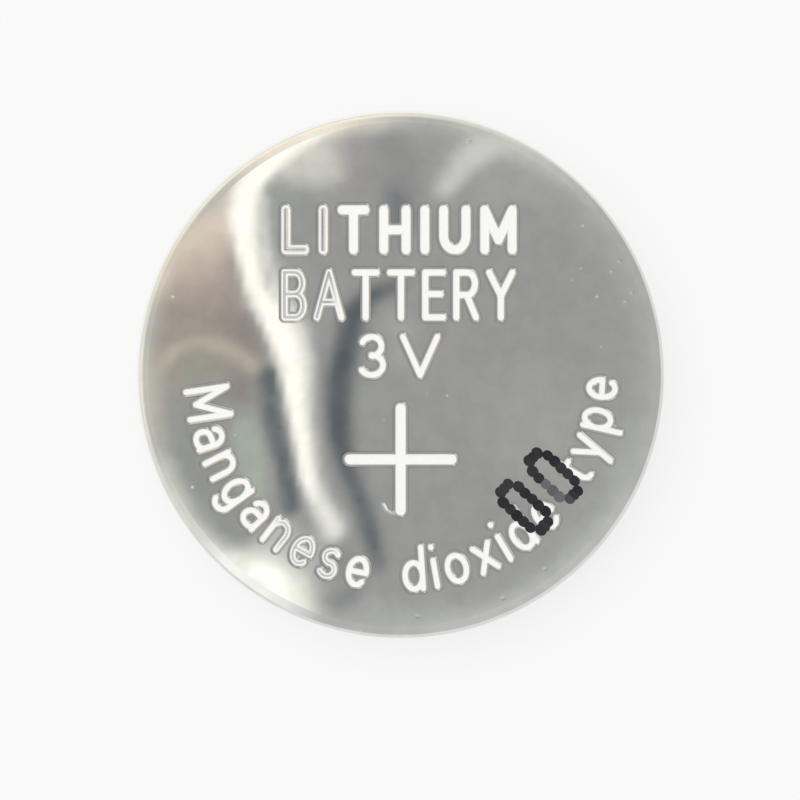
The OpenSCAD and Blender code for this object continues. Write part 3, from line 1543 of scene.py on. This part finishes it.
@dataclass
class NegativeCap:
    """Stepped cap whose flat is the negative face.

    Attributes:
        can: the can that closes over it.
        sheet: thickness of its sheet.
        face_bend: outside radius of the bend round the flat.
        step_h: height of the shelf's underside.
        step_bend: inside radius of the shelf's two bends.
        show: width of the gasket that shows beside it.
    """

    can: PositiveCan
    sheet: float = 0.25
    face_bend: float = 0.35
    step_h: float = 0.65
    step_bend: float = 0.12
    show: float = 0.22

    def __post_init__(self) -> None:
        """Reads the cap's outer sizes from the frame and places the centres of its bends."""
        low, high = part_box("negative_cap")
        self.skirt_r = in_mm(high.x)
        self.top = in_mm(high.z)
        self.low = in_mm(low.z)
        self.shoulder_bend = self.step_bend + self.sheet
        face_r = self.can.edge_centre[0] - self.can.edge_r - self.show
        self.face_centre = (face_r - self.face_bend, self.low + self.face_bend)
        self.step_centre = (face_r + self.step_bend, self.step_h - self.step_bend)
        self.shoulder_centre = (self.skirt_r - self.shoulder_bend, self.step_h + self.shoulder_bend)

    def section(self) -> Section:
        """Draws the cap in section, from the middle of its inside round to the middle of its flat.

        Returns:
            The open section.
        """
        made = Section().to(0, self.low)
        made.bend(*self.face_centre, self.face_bend, -90, 0)
        made.bend(*self.step_centre, self.step_bend, 180, 90)
        made.bend(*self.shoulder_centre, self.shoulder_bend, -90, 0)
        made.to(self.skirt_r, self.top).to(self.skirt_r - self.sheet, self.top)
        made.bend(*self.shoulder_centre, self.step_bend, 0, -90)
        made.bend(*self.step_centre, self.shoulder_bend, 90, 180)
        made.bend(*self.face_centre, self.face_bend - self.sheet, 0, -90)
        return made.to(0, self.low + self.sheet).backwards()

    def build(self, lathe: Lathe, steel: bpy.types.Material) -> None:
        """Turns the cap and hands it over.

        Args:
            lathe: the lathe that turns it.
            steel: its material.
        """
        cap = lathe.turn("negative_cap_shell", self.section(), self.skirt_r, steel)
        keep_corners(cap)
        hand_over(cap, "cap_steel", "negative_cap")


@dataclass
class Gasket:
    """Moulded gasket that fills the space between the can and the cap's skirt.

    Attributes:
        can: the can round it.
        cap: the cap inside it.
        recess: how far behind the crimp its edge lies.
        lip_t: thickness of its inner lip.
        lip_h: height of the inner lip from the can's bottom.
    """

    can: PositiveCan
    cap: NegativeCap
    recess: float = 0.08
    lip_t: float = 0.4
    lip_h: float = 1.2

    def section(self) -> Section:
        """Draws the gasket in section.

        Returns:
            The closed section.
        """
        can, cap = self.can, self.cap
        edge_z = can.low + self.recess
        bottom_z = can.height - can.sheet
        skirt_r = cap.skirt_r - cap.sheet
        lip_r, lip_z = skirt_r - self.lip_t, bottom_z - self.lip_h
        can_turn = math.degrees(math.asin((can.edge_centre[1] - edge_z) / can.edge_r))
        cap_turn = math.degrees(math.asin((cap.face_centre[1] - edge_z) / cap.face_bend))
        made = Section(closed=True)
        made.bend(*cap.face_centre, cap.face_bend, 0, -cap_turn)
        made.bend(*can.edge_centre, can.edge_r, 180 + can_turn, 90 + can.edge_skip)
        made.bend(*can.crimp_centre, can.crimp_r - can.sheet, -90, 0)
        made.bend(*can.corner_centre, can.corner_r - can.sheet, 0, 90)
        made.to(lip_r, bottom_z).to(lip_r, lip_z).to(skirt_r, lip_z).to(skirt_r, cap.top)
        made.to(cap.skirt_r, cap.top)
        made.bend(*cap.shoulder_centre, cap.shoulder_bend, 0, -90)
        made.bend(*cap.step_centre, cap.step_bend, 90, 180)
        return made.backwards()

    def build(self, lathe: Lathe, plastic: bpy.types.Material) -> None:
        """Turns the gasket and hands it over.

        Args:
            lathe: the lathe that turns it.
            plastic: its material.
        """
        gasket = lathe.turn("gasket_ring", self.section(), self.can.radius, plastic)
        keep_corners(gasket)
        hand_over(gasket, "gasket_plastic", "gasket")


@dataclass
class InkCode:
    """Two noughts printed across the rim's lettering by a head of fine nozzles.

    Attributes:
        face: the face that they are printed on.
        dot: width of a dot across a figure.
        dot_long: its length along the figure.
        film: thickness of the dried ink.
        pooling: how much thicker the ink is over a stroke, as a share of the steel's fall there.
        pool: the most that this adds.
        row_pitch: distance between dots along a figure.
        column_pitch: distance between dots across a figure.
        up: direction of the figures' tops, in degrees.
        centres: the middles of the two figures.
        jitter: how far a dot strays from its place.
        sizes: the smallest and the largest dot, as shares of a full one.
        fresh: the least and the most that a sound dot has faded.
        worn: the least and the most that a worn dot has faded.
        segments: how many sides a dot has.
        rings: how many steps a dot has from its foot to its top.
        seed: starts the small random shifts of the dots.
    """

    face: PunchedFace
    dot: float = 0.4
    dot_long: float = 0.46
    film: float = 0.0019
    pooling: float = 0.4
    pool: float = 0.006
    row_pitch: float = 0.345
    column_pitch: float = 0.21
    up: float = 137.0
    centres: tuple[Point, Point] = ((4.67, -5.0), (5.76, -3.83))
    jitter: float = 0.01
    sizes: tuple[float, float] = (0.93, 1.07)
    fresh: tuple[float, float] = (0.0, 0.1)
    worn: tuple[float, float] = (0.25, 0.7)
    segments: int = 28
    rings: int = 22
    seed: int = 7

    NOUGHT = (" ### ", "#   #", "#   #", "#   #", "#   #", "#   #", " ### ")

    def dots(self) -> tuple[np.ndarray, np.ndarray, np.ndarray]:
        """Places the dots.

        Returns:
            Their places, their sizes as shares of a full dot, and how faded each one is.
        """
        draw = np.random.default_rng(self.seed)
        angle = math.radians(self.up)
        top = np.array([math.cos(angle), math.sin(angle)]) * self.row_pitch
        right = np.array([math.sin(angle), -math.cos(angle)]) * self.column_pitch
        middle_row = (len(self.NOUGHT) - 1) / 2
        middle_column = (len(self.NOUGHT[0]) - 1) / 2
        places, faded = [], []
        for figure, centre in enumerate(self.centres):
            for row, line in enumerate(self.NOUGHT):
                for column, dot in enumerate(line):
                    if dot == " ":
                        continue
                    place = np.array(centre) + top * (middle_row - row) + right * (column - middle_column)
                    places.append(place + draw.normal(0, self.jitter, 2))
                    # The second figure is worn along its left side, from its middle down
                    is_worn = figure == 1 and column < middle_column and row >= middle_row
                    faded.append(draw.uniform(*(self.worn if is_worn else self.fresh)))
        return np.array(places), draw.uniform(*self.sizes, len(places)), np.array(faded)

    def tree(self) -> tuple[bpy.types.NodeTree, dict[str, str]]:
        """Builds the nodes that set a low round dot of ink on every point.

        Returns:
            The tree, and the identifiers of its inputs by name.
        """
        graph, sockets = new_group("ink_dots", "Dots", {
            "Points": "Geometry", "Dot width": "Float", "Dot length": "Float",
            "Film thickness": "Float", "Lean": "Float", "Ink": "Material",
        })
        given = graph.node("NodeGroupInput").outputs
        ball_inputs = {"Segments": self.segments, "Rings": self.rings, "Radius": 0.5}
        ball = graph.node("GeometryNodeMeshUVSphere", ball_inputs)
        size = graph.node("GeometryNodeInputNamedAttribute", {"Name": "size"}, data_type="FLOAT")
        width = graph.math("MULTIPLY", size.outputs[0], given["Dot width"])
        length = graph.math("MULTIPLY", size.outputs[0], given["Dot length"])
        depth = graph.math("MULTIPLY", given["Film thickness"], 2.0)
        shape = graph.node("ShaderNodeCombineXYZ", {0: length, 1: width, 2: depth})
        lean = graph.node("ShaderNodeCombineXYZ", {2: given["Lean"]})
        inputs = {"Points": given["Points"], "Instance": ball.outputs[0], "Rotation": lean.outputs[0],
                  "Scale": shape.outputs[0]}
        placed = graph.node("GeometryNodeInstanceOnPoints", inputs)
        smooth = graph.node("GeometryNodeSetShadeSmooth", {0: placed.outputs[0]})
        real = graph.node("GeometryNodeRealizeInstances", {0: smooth.outputs[0]})
        inked = graph.node("GeometryNodeSetMaterial", {0: real.outputs[0], "Material": given["Ink"]})
        graph.node("NodeGroupOutput", {0: inked.outputs[0]})
        return graph.tree, sockets

    def build(self, ink: bpy.types.Material) -> None:
        """Prints the dots and hands them over.

        Args:
            ink: their material.
        """
        places, sizes, faded = self.dots()
        level = self.face.height - self.face.dip
        points = bpy.data.meshes.new("ink_points")
        points.from_pydata([(x * MM, y * MM, level * MM) for x, y in places], [], [])
        mark(points, "size", sizes)
        mark(points, "fade", faded)
        tree, sockets = self.tree()
        code = grown("printed_code", points, tree, {
            sockets["Dot width"]: self.dot * MM,
            sockets["Dot length"]: self.dot_long * MM,
            sockets["Film thickness"]: self.film * MM,
            sockets["Lean"]: math.radians(self.up),
            sockets["Ink"]: ink,
        })
        self.drape(code.data, level)
        hand_over(code, "marking_ink")

    def drape(self, mesh: bpy.types.Mesh, level: float) -> None:
        """Lays the dots onto the face, down into its strokes.

        Args:
            mesh: the dots, on one level.
            level: that level, in millimetres.
        """
        places = vectors(mesh, "co")
        flat = places[:, :2] / MM
        steel = self.face.relief(flat).height
        extra = np.minimum(self.pooling * (self.face.dished(flat) - steel), self.pool)
        places[:, 2] += (steel - level + extra) * MM
        mesh.vertices.foreach_set("co", places.ravel())


@dataclass
class Insides:
    """The sealed pieces, which keep the frame's own shapes.

    Attributes:
        finishes: the finish of each node, by the node's name.
    """

    finishes: dict[str, Finish] = field(default_factory=lambda: {
        "cathode_pellet": PRESSED_POWDER,
        "cathode_ring": COLLECTOR_STEEL,
        "separator": SEPARATOR_FELT,
        "lithium_disc": SOFT_METAL,
    })

    def build(self) -> None:
        """Dresses each node with its finish."""
        for name, finish in self.finishes.items():
            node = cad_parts[name]
            material = finish.material()
            for place in node.material_slots:
                place.material = material
            LOG.info("%s: dressed as %s", name, finish.name)


@dataclass(frozen=True)
class Streak:
    """Soft-edged streak of one tone on the overhead card, laid out as the face mirrors it.

    Attributes:
        tone: the tone that the mirroring face takes, as a display tone.
        blur: half the width of its soft edge, in pixels of the photograph.
        path: its middle in pixels of the photograph, from the left and from the top, with half
            its width at each point.
        strength: how much it covers what lies under it.
        gain: how much brighter it is than its tone.
    """

    tone: str
    blur: float
    path: tuple[tuple[float, float, float], ...]
    strength: float = 1.0
    gain: float = 1.0

    # Steps from one point of the path to the next
    STEPS = 8

    def paint(self, tones: np.ndarray, points: np.ndarray) -> np.ndarray:
        """Lays the streak over other tones.

        Args:
            tones: linear light at some points.
            points: those points, in pixels of the photograph.

        Returns:
            The light with the streak on it.
        """
        path = np.array(self.path, float)
        last = len(path) - 1
        fine = np.linspace(0, last, last * self.STEPS + 1)
        reach = np.full(len(points), np.inf)
        for x, y, half in np.stack([np.interp(fine, np.arange(last + 1), row) for row in path.T], axis=1):
            reach = np.minimum(reach, np.hypot(points[:, 0] - x, points[:, 1] - y) - half)
        share = self.strength * ramp((self.blur - reach) / (2 * self.blur))
        return laid_over(tones, linear(self.tone) * self.gain, share)


@dataclass(frozen=True)
class Panel:
    """Upright stretch of the surrounding card in one tone, as the steel mirrors it.

    Attributes:
        tone: the tone that the mirroring steel takes, as a display tone.
        middle: direction of its middle, in degrees from +X towards +Y.
        half: half its width, in degrees.
        blur: half the width of its soft sides, in degrees.
    """

    tone: str
    middle: float
    half: float
    blur: float

    def cover(self, degrees: np.ndarray) -> np.ndarray:
        """Works out how much of the panel there is in some directions, from 0 to 1."""
        off = np.abs((degrees - self.middle + 180) % 360 - 180)
        return ramp((self.half + self.blur - off) / (2 * self.blur))


# The surrounding card as the steel mirrors it, from its plain grey up
PANELS = {
    "grey, right and above": Panel("C6C7BF", 64, 14, 16),
    "grey, below": Panel("BCBDB8", 300, 34, 24),
    "cream, above": Panel("F4E9DA", 112, 16, 14),
    "tan, left and above": Panel("D8CCBC", 152, 12, 12),
    "grey, left": Panel("C4C1B7", 182, 12, 10),
    "pale, left and below": Panel("D2D3C9", 210, 10, 10),
    "white, below": Panel("F8F9F3", 233, 13, 9),
}

# Pale fringes that the steel takes on low down, towards the left
FRINGES = {
    "cream, above": Panel("FBF3DC", 118, 40, 34),
    "pale, left": Panel("EDE9DC", 182, 22, 20),
    "grey, left and below": Panel("DCDCD2", 205, 10, 8),
}

# What the flat of the face mirrors, from the lowest layer up
STREAKS = {
    "plain card": Streak("A3A4A1", 10, ((400, 374, 900),)),
    "dimmer middle": Streak("9A9B98", 24, ((400, 374, 224),)),
    "light under the plus": Streak("ACAEAA", 14, ((372, 612, 14), (440, 618, 12)), 0.8),
    "warm side": Streak("A0988F", 26, ((150, 260, 80), (165, 330, 70), (200, 330, 60))),
    "tan patch": Streak("C3B3A7", 28, ((165, 258, 32), (200, 258, 30))),
    "cream patch": Streak("DBCDBE", 24, ((198, 230, 24), (226, 222, 22))),
    "cream edge": Streak("D9CBBB", 14, ((154, 276, 8), (186, 222, 13), (226, 184, 12))),
    "brown shade": Streak("8D857F", 12, ((236, 322, 12), (252, 352, 14), (240, 392, 12)), 0.8),
    "pale arch": Streak("C0B8A8", 7, (
        (163, 374, 6), (176, 351, 5), (206, 342, 5), (234, 350, 6), (254, 366, 6),
    ), 0.9),
    "olive under the arch": Streak("9A9B90", 14, ((200, 372, 18),), 0.8),
    "grey side": Streak("959793", 18, ((196, 430, 34), (205, 470, 34), (232, 530, 28))),
    "warm grey edge": Streak("A9A69F", 12, ((158, 390, 14), (160, 440, 12))),
    "pale green edge": Streak("BCC1B5", 9, ((170, 462, 8), (186, 498, 7)), 0.8),
    "green grey patch": Streak("A8AFA3", 8, ((248, 432, 15), (256, 492, 13))),
    "slate strip": Streak("646B6E", 5, (
        (270, 376, 10), (274, 420, 10), (286, 462, 9), (292, 506, 9),
    )),
    "grey beside the bright band": Streak("999D97", 12, ((278, 200, 18), (282, 290, 16))),
    "pale head of the band": Streak("CFCDC3", 12, ((294, 174, 12), (314, 168, 20), (336, 166, 20))),
    "grey over the letters": Streak("9C9A99", 14, ((352, 140, 16), (362, 200, 16)), 0.9),
    "darker grey over the letters": Streak("919190", 16, ((396, 150, 20), (404, 205, 16)), 0.95),
    "dark spot in the letters": Streak("73757A", 13, ((396, 202, 11), (402, 224, 11)), 0.9),
    "glint above the letters": Streak("BEBCB6", 9, ((362, 133, 6), (384, 129, 6)), 0.8),
    "arc above the letters": Streak("BDBFBC", 10, ((496, 150, 10), (536, 162, 9), (590, 198, 5)), 0.8),
    "light under the arc": Streak("A5A5A4", 14, ((484, 196, 14), (534, 190, 14)), 0.8),
    "slanting glint": Streak("CDCECA", 9, ((488, 147, 14), (464, 166, 13), (445, 190, 9)), 0.95),
    "slate band": Streak("585E63", 9, (
        (396, 286, 6), (368, 298, 8), (353, 318, 12), (347, 345, 12), (341, 372, 13), (339, 400, 13),
        (340, 440, 12), (348, 470, 9), (361, 500, 8), (370, 530, 8), (378, 562, 5),
    )),
    "grey in the slate": Streak("8E908F", 10, ((318, 512, 9), (338, 560, 10)), 0.8),
    "pale foot of the band": Streak("C4C6C1", 12, ((280, 530, 11), (312, 550, 11)), 0.7),
    "light beside the slate": Streak("A7A7A5", 14, ((400, 326, 12), (402, 356, 12)), 0.8),
    "shade at the lower rim": Streak("7F8184", 9, ((338, 596, 7), (356, 588, 7)), 0.8),
    "wide light on the right": Streak("A3A39F", 46, ((545, 430, 50),), 0.9),
    "light inside the lower rim": Streak("ADB1AB", 14, (
        (440, 622, 8), (500, 606, 10), (556, 570, 11), (606, 510, 11), (630, 430, 11),
    ), 0.7),
}

# What it mirrors over them and over the blend at the rim
HIGHLIGHTS = {
    "soft side of the bright band": Streak("E9E9E1", 8, (
        (262, 205, 6), (268, 262, 4.5), (294, 331, 12), (303, 362, 10), (304, 420, 8), (312, 478, 8),
        (322, 506, 10), (334, 528, 11),
    )),
    "bright band": Streak("FFFDF2", 5, (
        (420, 112, 2), (372, 118, 4), (334, 130, 6), (304, 146, 8), (278, 164, 10), (258, 182, 12),
        (247, 202, 12), (245, 222, 12), (249, 252, 10), (256, 290, 9), (281, 330, 14), (291, 362, 12),
        (296, 400, 9), (302, 440, 7), (308, 474, 7), (315, 496, 4),
    ), gain=1.1),
    "grey at its foot": Streak("C8C9C3", 14, ((274, 544, 14), (308, 572, 12)), 0.8),
    "glow at the lower rim": Streak("F3F3E6", 13, (
        (240, 556, 10), (268, 566, 17), (296, 590, 16), (292, 640, 24),
    )),
    "core of the glow": Streak("FFFFF8", 7, (
        (258, 566, 8), (276, 574, 11), (286, 600, 9), (284, 640, 14),
    ), gain=1.1),
}


def quads(rows: int, columns: int, ring: bool) -> list[tuple[int, int, int, int]]:
    """Joins rows of points into faces.

    Args:
        rows: how many rows there are.
        columns: how many points a row has.
        ring: whether each row closes on itself.

    Returns:
        The numbers of each face's four points.
    """
    made = []
    for row in range(rows - 1):
        for column in range(columns if ring else columns - 1):
            low = row * columns + column
            following = row * columns + (column + 1) % columns
            made.append((low, low + columns, following + columns, following))
    return made


@dataclass(frozen=True)
class Studio:
    """White floor, soft light, the cards that the steel mirrors, and the camera.

    Attributes:
        mirror_tone: the steel's own colour, which the cards make up for.
        camera_place: the camera, in millimetres.
        lens: its focal length, in millimetres.
        sensor: width of its sensor, in millimetres.
        clip: nearest distance that it sees, in metres.
        sky_light: light of the world, for all rays that carry light.
        lamp_light: how bright a white surface under the lamp gets from it.
        lamp_place: the lamp, in metres.
        lamp_tilt: how far it leans about X and about Y, in degrees.
        lamp_size: side of the lamp, in metres.
        floor_reach: half the floor's side, in metres.
        floor_drop: how far below the cell it lies, in millimetres.
        floor_tone: its linear grey.
        floor_seen: how much whiter the camera sees it.
        floor_mirrored: how much whiter the steel mirrors it.
        face_height: height of the mirroring face, in millimetres.
        card_height: how far above the face the overhead card hangs, in millimetres.
        card_reach: how far out on the face's plane that card is mirrored, in millimetres.
        card_step: distance there between its points.
        ground: tone of that card under its streaks.
        rim_start: where on the face that card starts to blend into the panels.
        rim_end: where that blend ends.
        around: how many points the surrounding card has round its middle.
        levels: how many steps it has from its foot to its top.
        surround_radius: its radius, in metres.
        surround_top: how high and how low it reaches, in degrees.
        panel_grey: its tone between the panels.
        fringe_top: height at which the fringes end, in degrees.
        fringe_blur: height over which they fade out.
        horizon: linear light of the card at the floor's edge.
        horizon_top: how high that light is full, in degrees.
        horizon_blur: height over which it fades out.
    """

    mirror_tone: Colour
    camera_place: tuple[float, float, float] = (-0.019, -0.966, 86.87)
    lens: float = 100.0
    sensor: float = 36.0
    clip: float = 0.001
    sky_light: float = 0.6
    lamp_light: float = 0.45
    lamp_place: tuple[float, float, float] = (-0.12, 0.12, 0.5)
    lamp_tilt: float = -14.0
    lamp_size: float = 0.45
    floor_reach: float = 0.62
    floor_drop: float = 0.02
    floor_tone: float = 0.93
    floor_seen: float = 0.72
    floor_mirrored: float = 0.7
    face_height: float = CELL_HEIGHT - 0.004
    card_height: float = 160.0
    card_reach: float = 20.0
    card_step: float = 0.25
    ground: str = "9A9B98"
    rim_start: float = CELL_RADIUS - 1.25
    rim_end: float = CELL_RADIUS - 0.4
    around: int = 144
    levels: int = 64
    surround_radius: float = 0.45
    surround_top: float = 74.0
    panel_grey: str = "ADAEAB"
    fringe_top: float = 44.0
    fringe_blur: float = 30.0
    horizon: float = 1.0
    horizon_top: float = 1.0
    horizon_blur: float = 7.0

    def build(self) -> None:
        """Builds the whole studio."""
        self.camera()
        self.world()
        self.lamp()
        self.floor()
        self.overhead_card()
        self.surround_card()
        LOG.info("studio: floor, lamp, cards and camera")

    def camera(self) -> None:
        """Sets the camera straight above the face, where the photograph's was."""
        data = bpy.data.cameras.new("camera")
        data.lens = self.lens
        data.sensor_width = self.sensor
        data.clip_start = self.clip
        camera = bpy.data.objects.new("camera", data)
        camera.location = [v * MM for v in self.camera_place]
        bpy.context.scene.collection.objects.link(camera)
        bpy.context.scene.camera = camera

    @staticmethod
    def seen(graph: Graph, looks: float, mirrored: float) -> Socket:
        """Tells rays that look at the background from rays that carry light.

        Args:
            graph: the tree to add the test to.
            looks: the answer for a camera or transmission ray.
            mirrored: the answer for a glossy ray.

        Returns:
            The answer, which is 0 for every other ray.
        """
        path = graph.node("ShaderNodeLightPath").outputs
        direct = graph.math("MAXIMUM", path["Is Camera Ray"], path["Is Transmission Ray"])
        return graph.math("MAXIMUM", graph.math("MULTIPLY", direct, looks),
                          graph.math("MULTIPLY", path["Is Glossy Ray"], mirrored))

    def world(self) -> None:
        """Makes a white background that lights the object at a plain level."""
        world = bpy.data.worlds.new("world")
        world.use_nodes = True
        graph = Graph(world.node_tree)
        colour = graph.mix_colour(self.seen(graph, 1.0, 1.0), (self.sky_light,) * 3, (1.0, 1.0, 1.0))
        sky = graph.node("ShaderNodeBackground", {"Color": colour, "Strength": 1.0})
        graph.node("ShaderNodeOutputWorld", {"Surface": sky.outputs[0]})
        bpy.context.scene.world = world

    def lamp(self) -> None:
        """Hangs one large soft lamp overhead, which the steel doesn't mirror."""
        data = bpy.data.lights.new("soft_lamp", "AREA")
        data.size = self.lamp_size
        data.energy = self.lamp_light * math.pi ** 2 * self.lamp_place[2] ** 2
        lamp = bpy.data.objects.new("soft_lamp", data)
        lamp.location = self.lamp_place
        lamp.rotation_euler = (math.radians(self.lamp_tilt), math.radians(self.lamp_tilt), 0)
        lamp.visible_glossy = False
        bpy.context.scene.collection.objects.link(lamp)

    def floor(self) -> None:
        """Lays a white floor that keeps the object's shadow and can be seen through from below."""
        reach, level = self.floor_reach, -self.floor_drop * MM
        corners = [(x * reach, y * reach, level) for x, y in ((-1, -1), (1, -1), (1, 1), (-1, 1))]
        mesh = bpy.data.meshes.new("floor")
        mesh.from_pydata(corners, [], [(0, 1, 2, 3)])
        material, graph = new_material("white_floor")
        matt = graph.node("ShaderNodeBsdfDiffuse", {"Color": (*(self.floor_tone,) * 3, 1.0)})
        white = graph.node("ShaderNodeEmission", {"Color": (1.0, 1.0, 1.0, 1.0), "Strength": 1.0})
        lift = self.seen(graph, self.floor_seen, self.floor_mirrored)
        paper = graph.node("ShaderNodeMixShader", {0: lift, 1: matt.outputs[0], 2: white.outputs[0]})
        clear = graph.node("ShaderNodeBsdfTransparent")
        below = graph.node("ShaderNodeNewGeometry").outputs["Backfacing"]
        sided = graph.node("ShaderNodeMixShader", {0: below, 1: paper.outputs[0], 2: clear.outputs[0]})
        graph.node("ShaderNodeOutputMaterial", {"Surface": sided.outputs[0]})
        mesh.materials.append(material)
        self.stand(mesh)

    @staticmethod
    def stand(mesh: bpy.types.Mesh) -> bpy.types.Object:
        """Puts a mesh in the scene as part of the studio.

        Args:
            mesh: its mesh, whose name it takes.

        Returns:
            The object.
        """
        made = bpy.data.objects.new(mesh.name, mesh)
        bpy.context.scene.collection.objects.link(made)
        return made

    def card(self, name: str, places: np.ndarray, faces: list, tones: np.ndarray) -> None:
        """Stands up a card that only mirroring surfaces see.

        Args:
            name: its name.
            places: its vertices, in metres.
            faces: its faces.
            tones: the light that each vertex gives.
        """
        mesh = bpy.data.meshes.new(name)
        mesh.from_pydata(places.tolist(), [], faces)
        glow = mesh.attributes.new("glow", "FLOAT_COLOR", "POINT")
        glow.data.foreach_set("color", np.column_stack([tones, np.ones(len(tones))]).ravel())
        material, graph = new_material(name)
        colour = graph.node("ShaderNodeAttribute", attribute_name="glow").outputs["Color"]
        light = graph.node("ShaderNodeEmission", {"Color": colour, "Strength": 1.0})
        graph.node("ShaderNodeOutputMaterial", {"Surface": light.outputs[0]})
        mesh.materials.append(material)
        made = self.stand(mesh)
        made.visible_camera = False
        made.visible_diffuse = False
        made.visible_shadow = False
        made.visible_transmission = False

    def overhead_card(self) -> None:
        """Paints the card that the flat of the face mirrors."""
        spread = np.arange(-self.card_reach, self.card_reach + self.card_step / 2, self.card_step)
        mirrored = np.stack(np.meshgrid(spread, spread), axis=-1).reshape(-1, 2)
        radii = np.hypot(*mirrored.T)
        pixels = in_photo(mirrored)
        tones = np.tile(linear(self.ground), (len(pixels), 1))
        for streak in STREAKS.values():
            tones = streak.paint(tones, pixels)
        round_about = self.panel_tones(np.degrees(np.arctan2(mirrored[:, 1], mirrored[:, 0])))
        rim = ramp((radii - self.rim_start) / (self.rim_end - self.rim_start))
        tones = laid_over(tones, round_about, rim)
        for streak in HIGHLIGHTS.values():
            tones = streak.paint(tones, pixels)
        # A ray from the camera goes on from the face at the angle at which it came down
        eye = np.array(self.camera_place[:2])
        throw = self.card_height / (self.camera_place[2] - self.face_height)
        flat = mirrored + (mirrored - eye) * throw
        height = np.full(len(flat), self.face_height + self.card_height)
        places = np.column_stack([flat, height]) * MM
        kept = radii <= self.card_reach
        faces = [f for f in quads(len(spread), len(spread), ring=False) if all(kept[i] for i in f)]
        self.card("overhead_card", places, faces, tones / self.mirror_tone)

    def surround_card(self) -> None:
        """Stands a wide soft card all round, which the bends and the side of the steel mirror."""
        rises = np.radians(np.linspace(-self.surround_top, self.surround_top, self.levels + 1))
        turns = 2 * np.pi * np.arange(self.around) / self.around
        rise, turn = (a.ravel() for a in np.meshgrid(rises, turns, indexing="ij"))
        places = np.stack([np.cos(rise) * np.cos(turn), np.cos(rise) * np.sin(turn), np.sin(rise)], axis=1)
        faces = quads(self.levels + 1, self.around, ring=True)
        tones = self.surround_tones(rise, turn)
        self.card("surround_card", places * self.surround_radius, faces, tones)

    def surround_tones(self, rise: np.ndarray, turn: np.ndarray) -> np.ndarray:
        """Chooses the light of the surrounding card in some directions.

        Args:
            rise: each direction's angle above the floor, in radians.
            turn: its angle from +X towards +Y.

        Returns:
            Linear light: warm white to the left, grey to the right, and white along the floor.
        """
        degrees = np.degrees(turn)
        heights = np.degrees(np.abs(rise))
        tones = self.panel_tones(degrees)
        low = ramp((self.fringe_top - heights) / self.fringe_blur)
        for fringe in FRINGES.values():
            tones = laid_over(tones, linear(fringe.tone), fringe.cover(degrees) * low)
        high = ramp((heights - self.horizon_top) / self.horizon_blur)
        white = np.full(tones.shape, self.horizon)
        return laid_over(white, tones / self.mirror_tone, high)

    def panel_tones(self, degrees: np.ndarray) -> np.ndarray:
        """Chooses the tones that the steel takes from the panels in some directions.

        Args:
            degrees: the directions, from +X towards +Y.

        Returns:
            Linear tones.
        """
        tones = np.tile(linear(self.panel_grey), (len(degrees), 1))
        for panel in PANELS.values():
            tones = laid_over(tones, linear(panel.tone), panel.cover(degrees))
        return tones


def main() -> None:
    """Builds the studio first and then the pieces in order, and reports each one."""
    logging.basicConfig(level=logging.INFO, format="%(name)s: %(message)s")
    bpy.context.scene.view_settings.view_transform = "Standard"
    studio = Studio(CAN_STEEL.tone)
    studio.build()
    can = PositiveCan()
    lathe = Lathe(can.turns)
    can.build(lathe, CAN_STEEL.material())
    cap = NegativeCap(can)
    cap.build(lathe, CAP_STEEL.material())
    Gasket(can, cap).build(lathe, GASKET_PLASTIC.material())
    InkCode(can.face).build(PRINTING_INK.material())
    Insides().build()


if __name__ == "__main__":
    main()
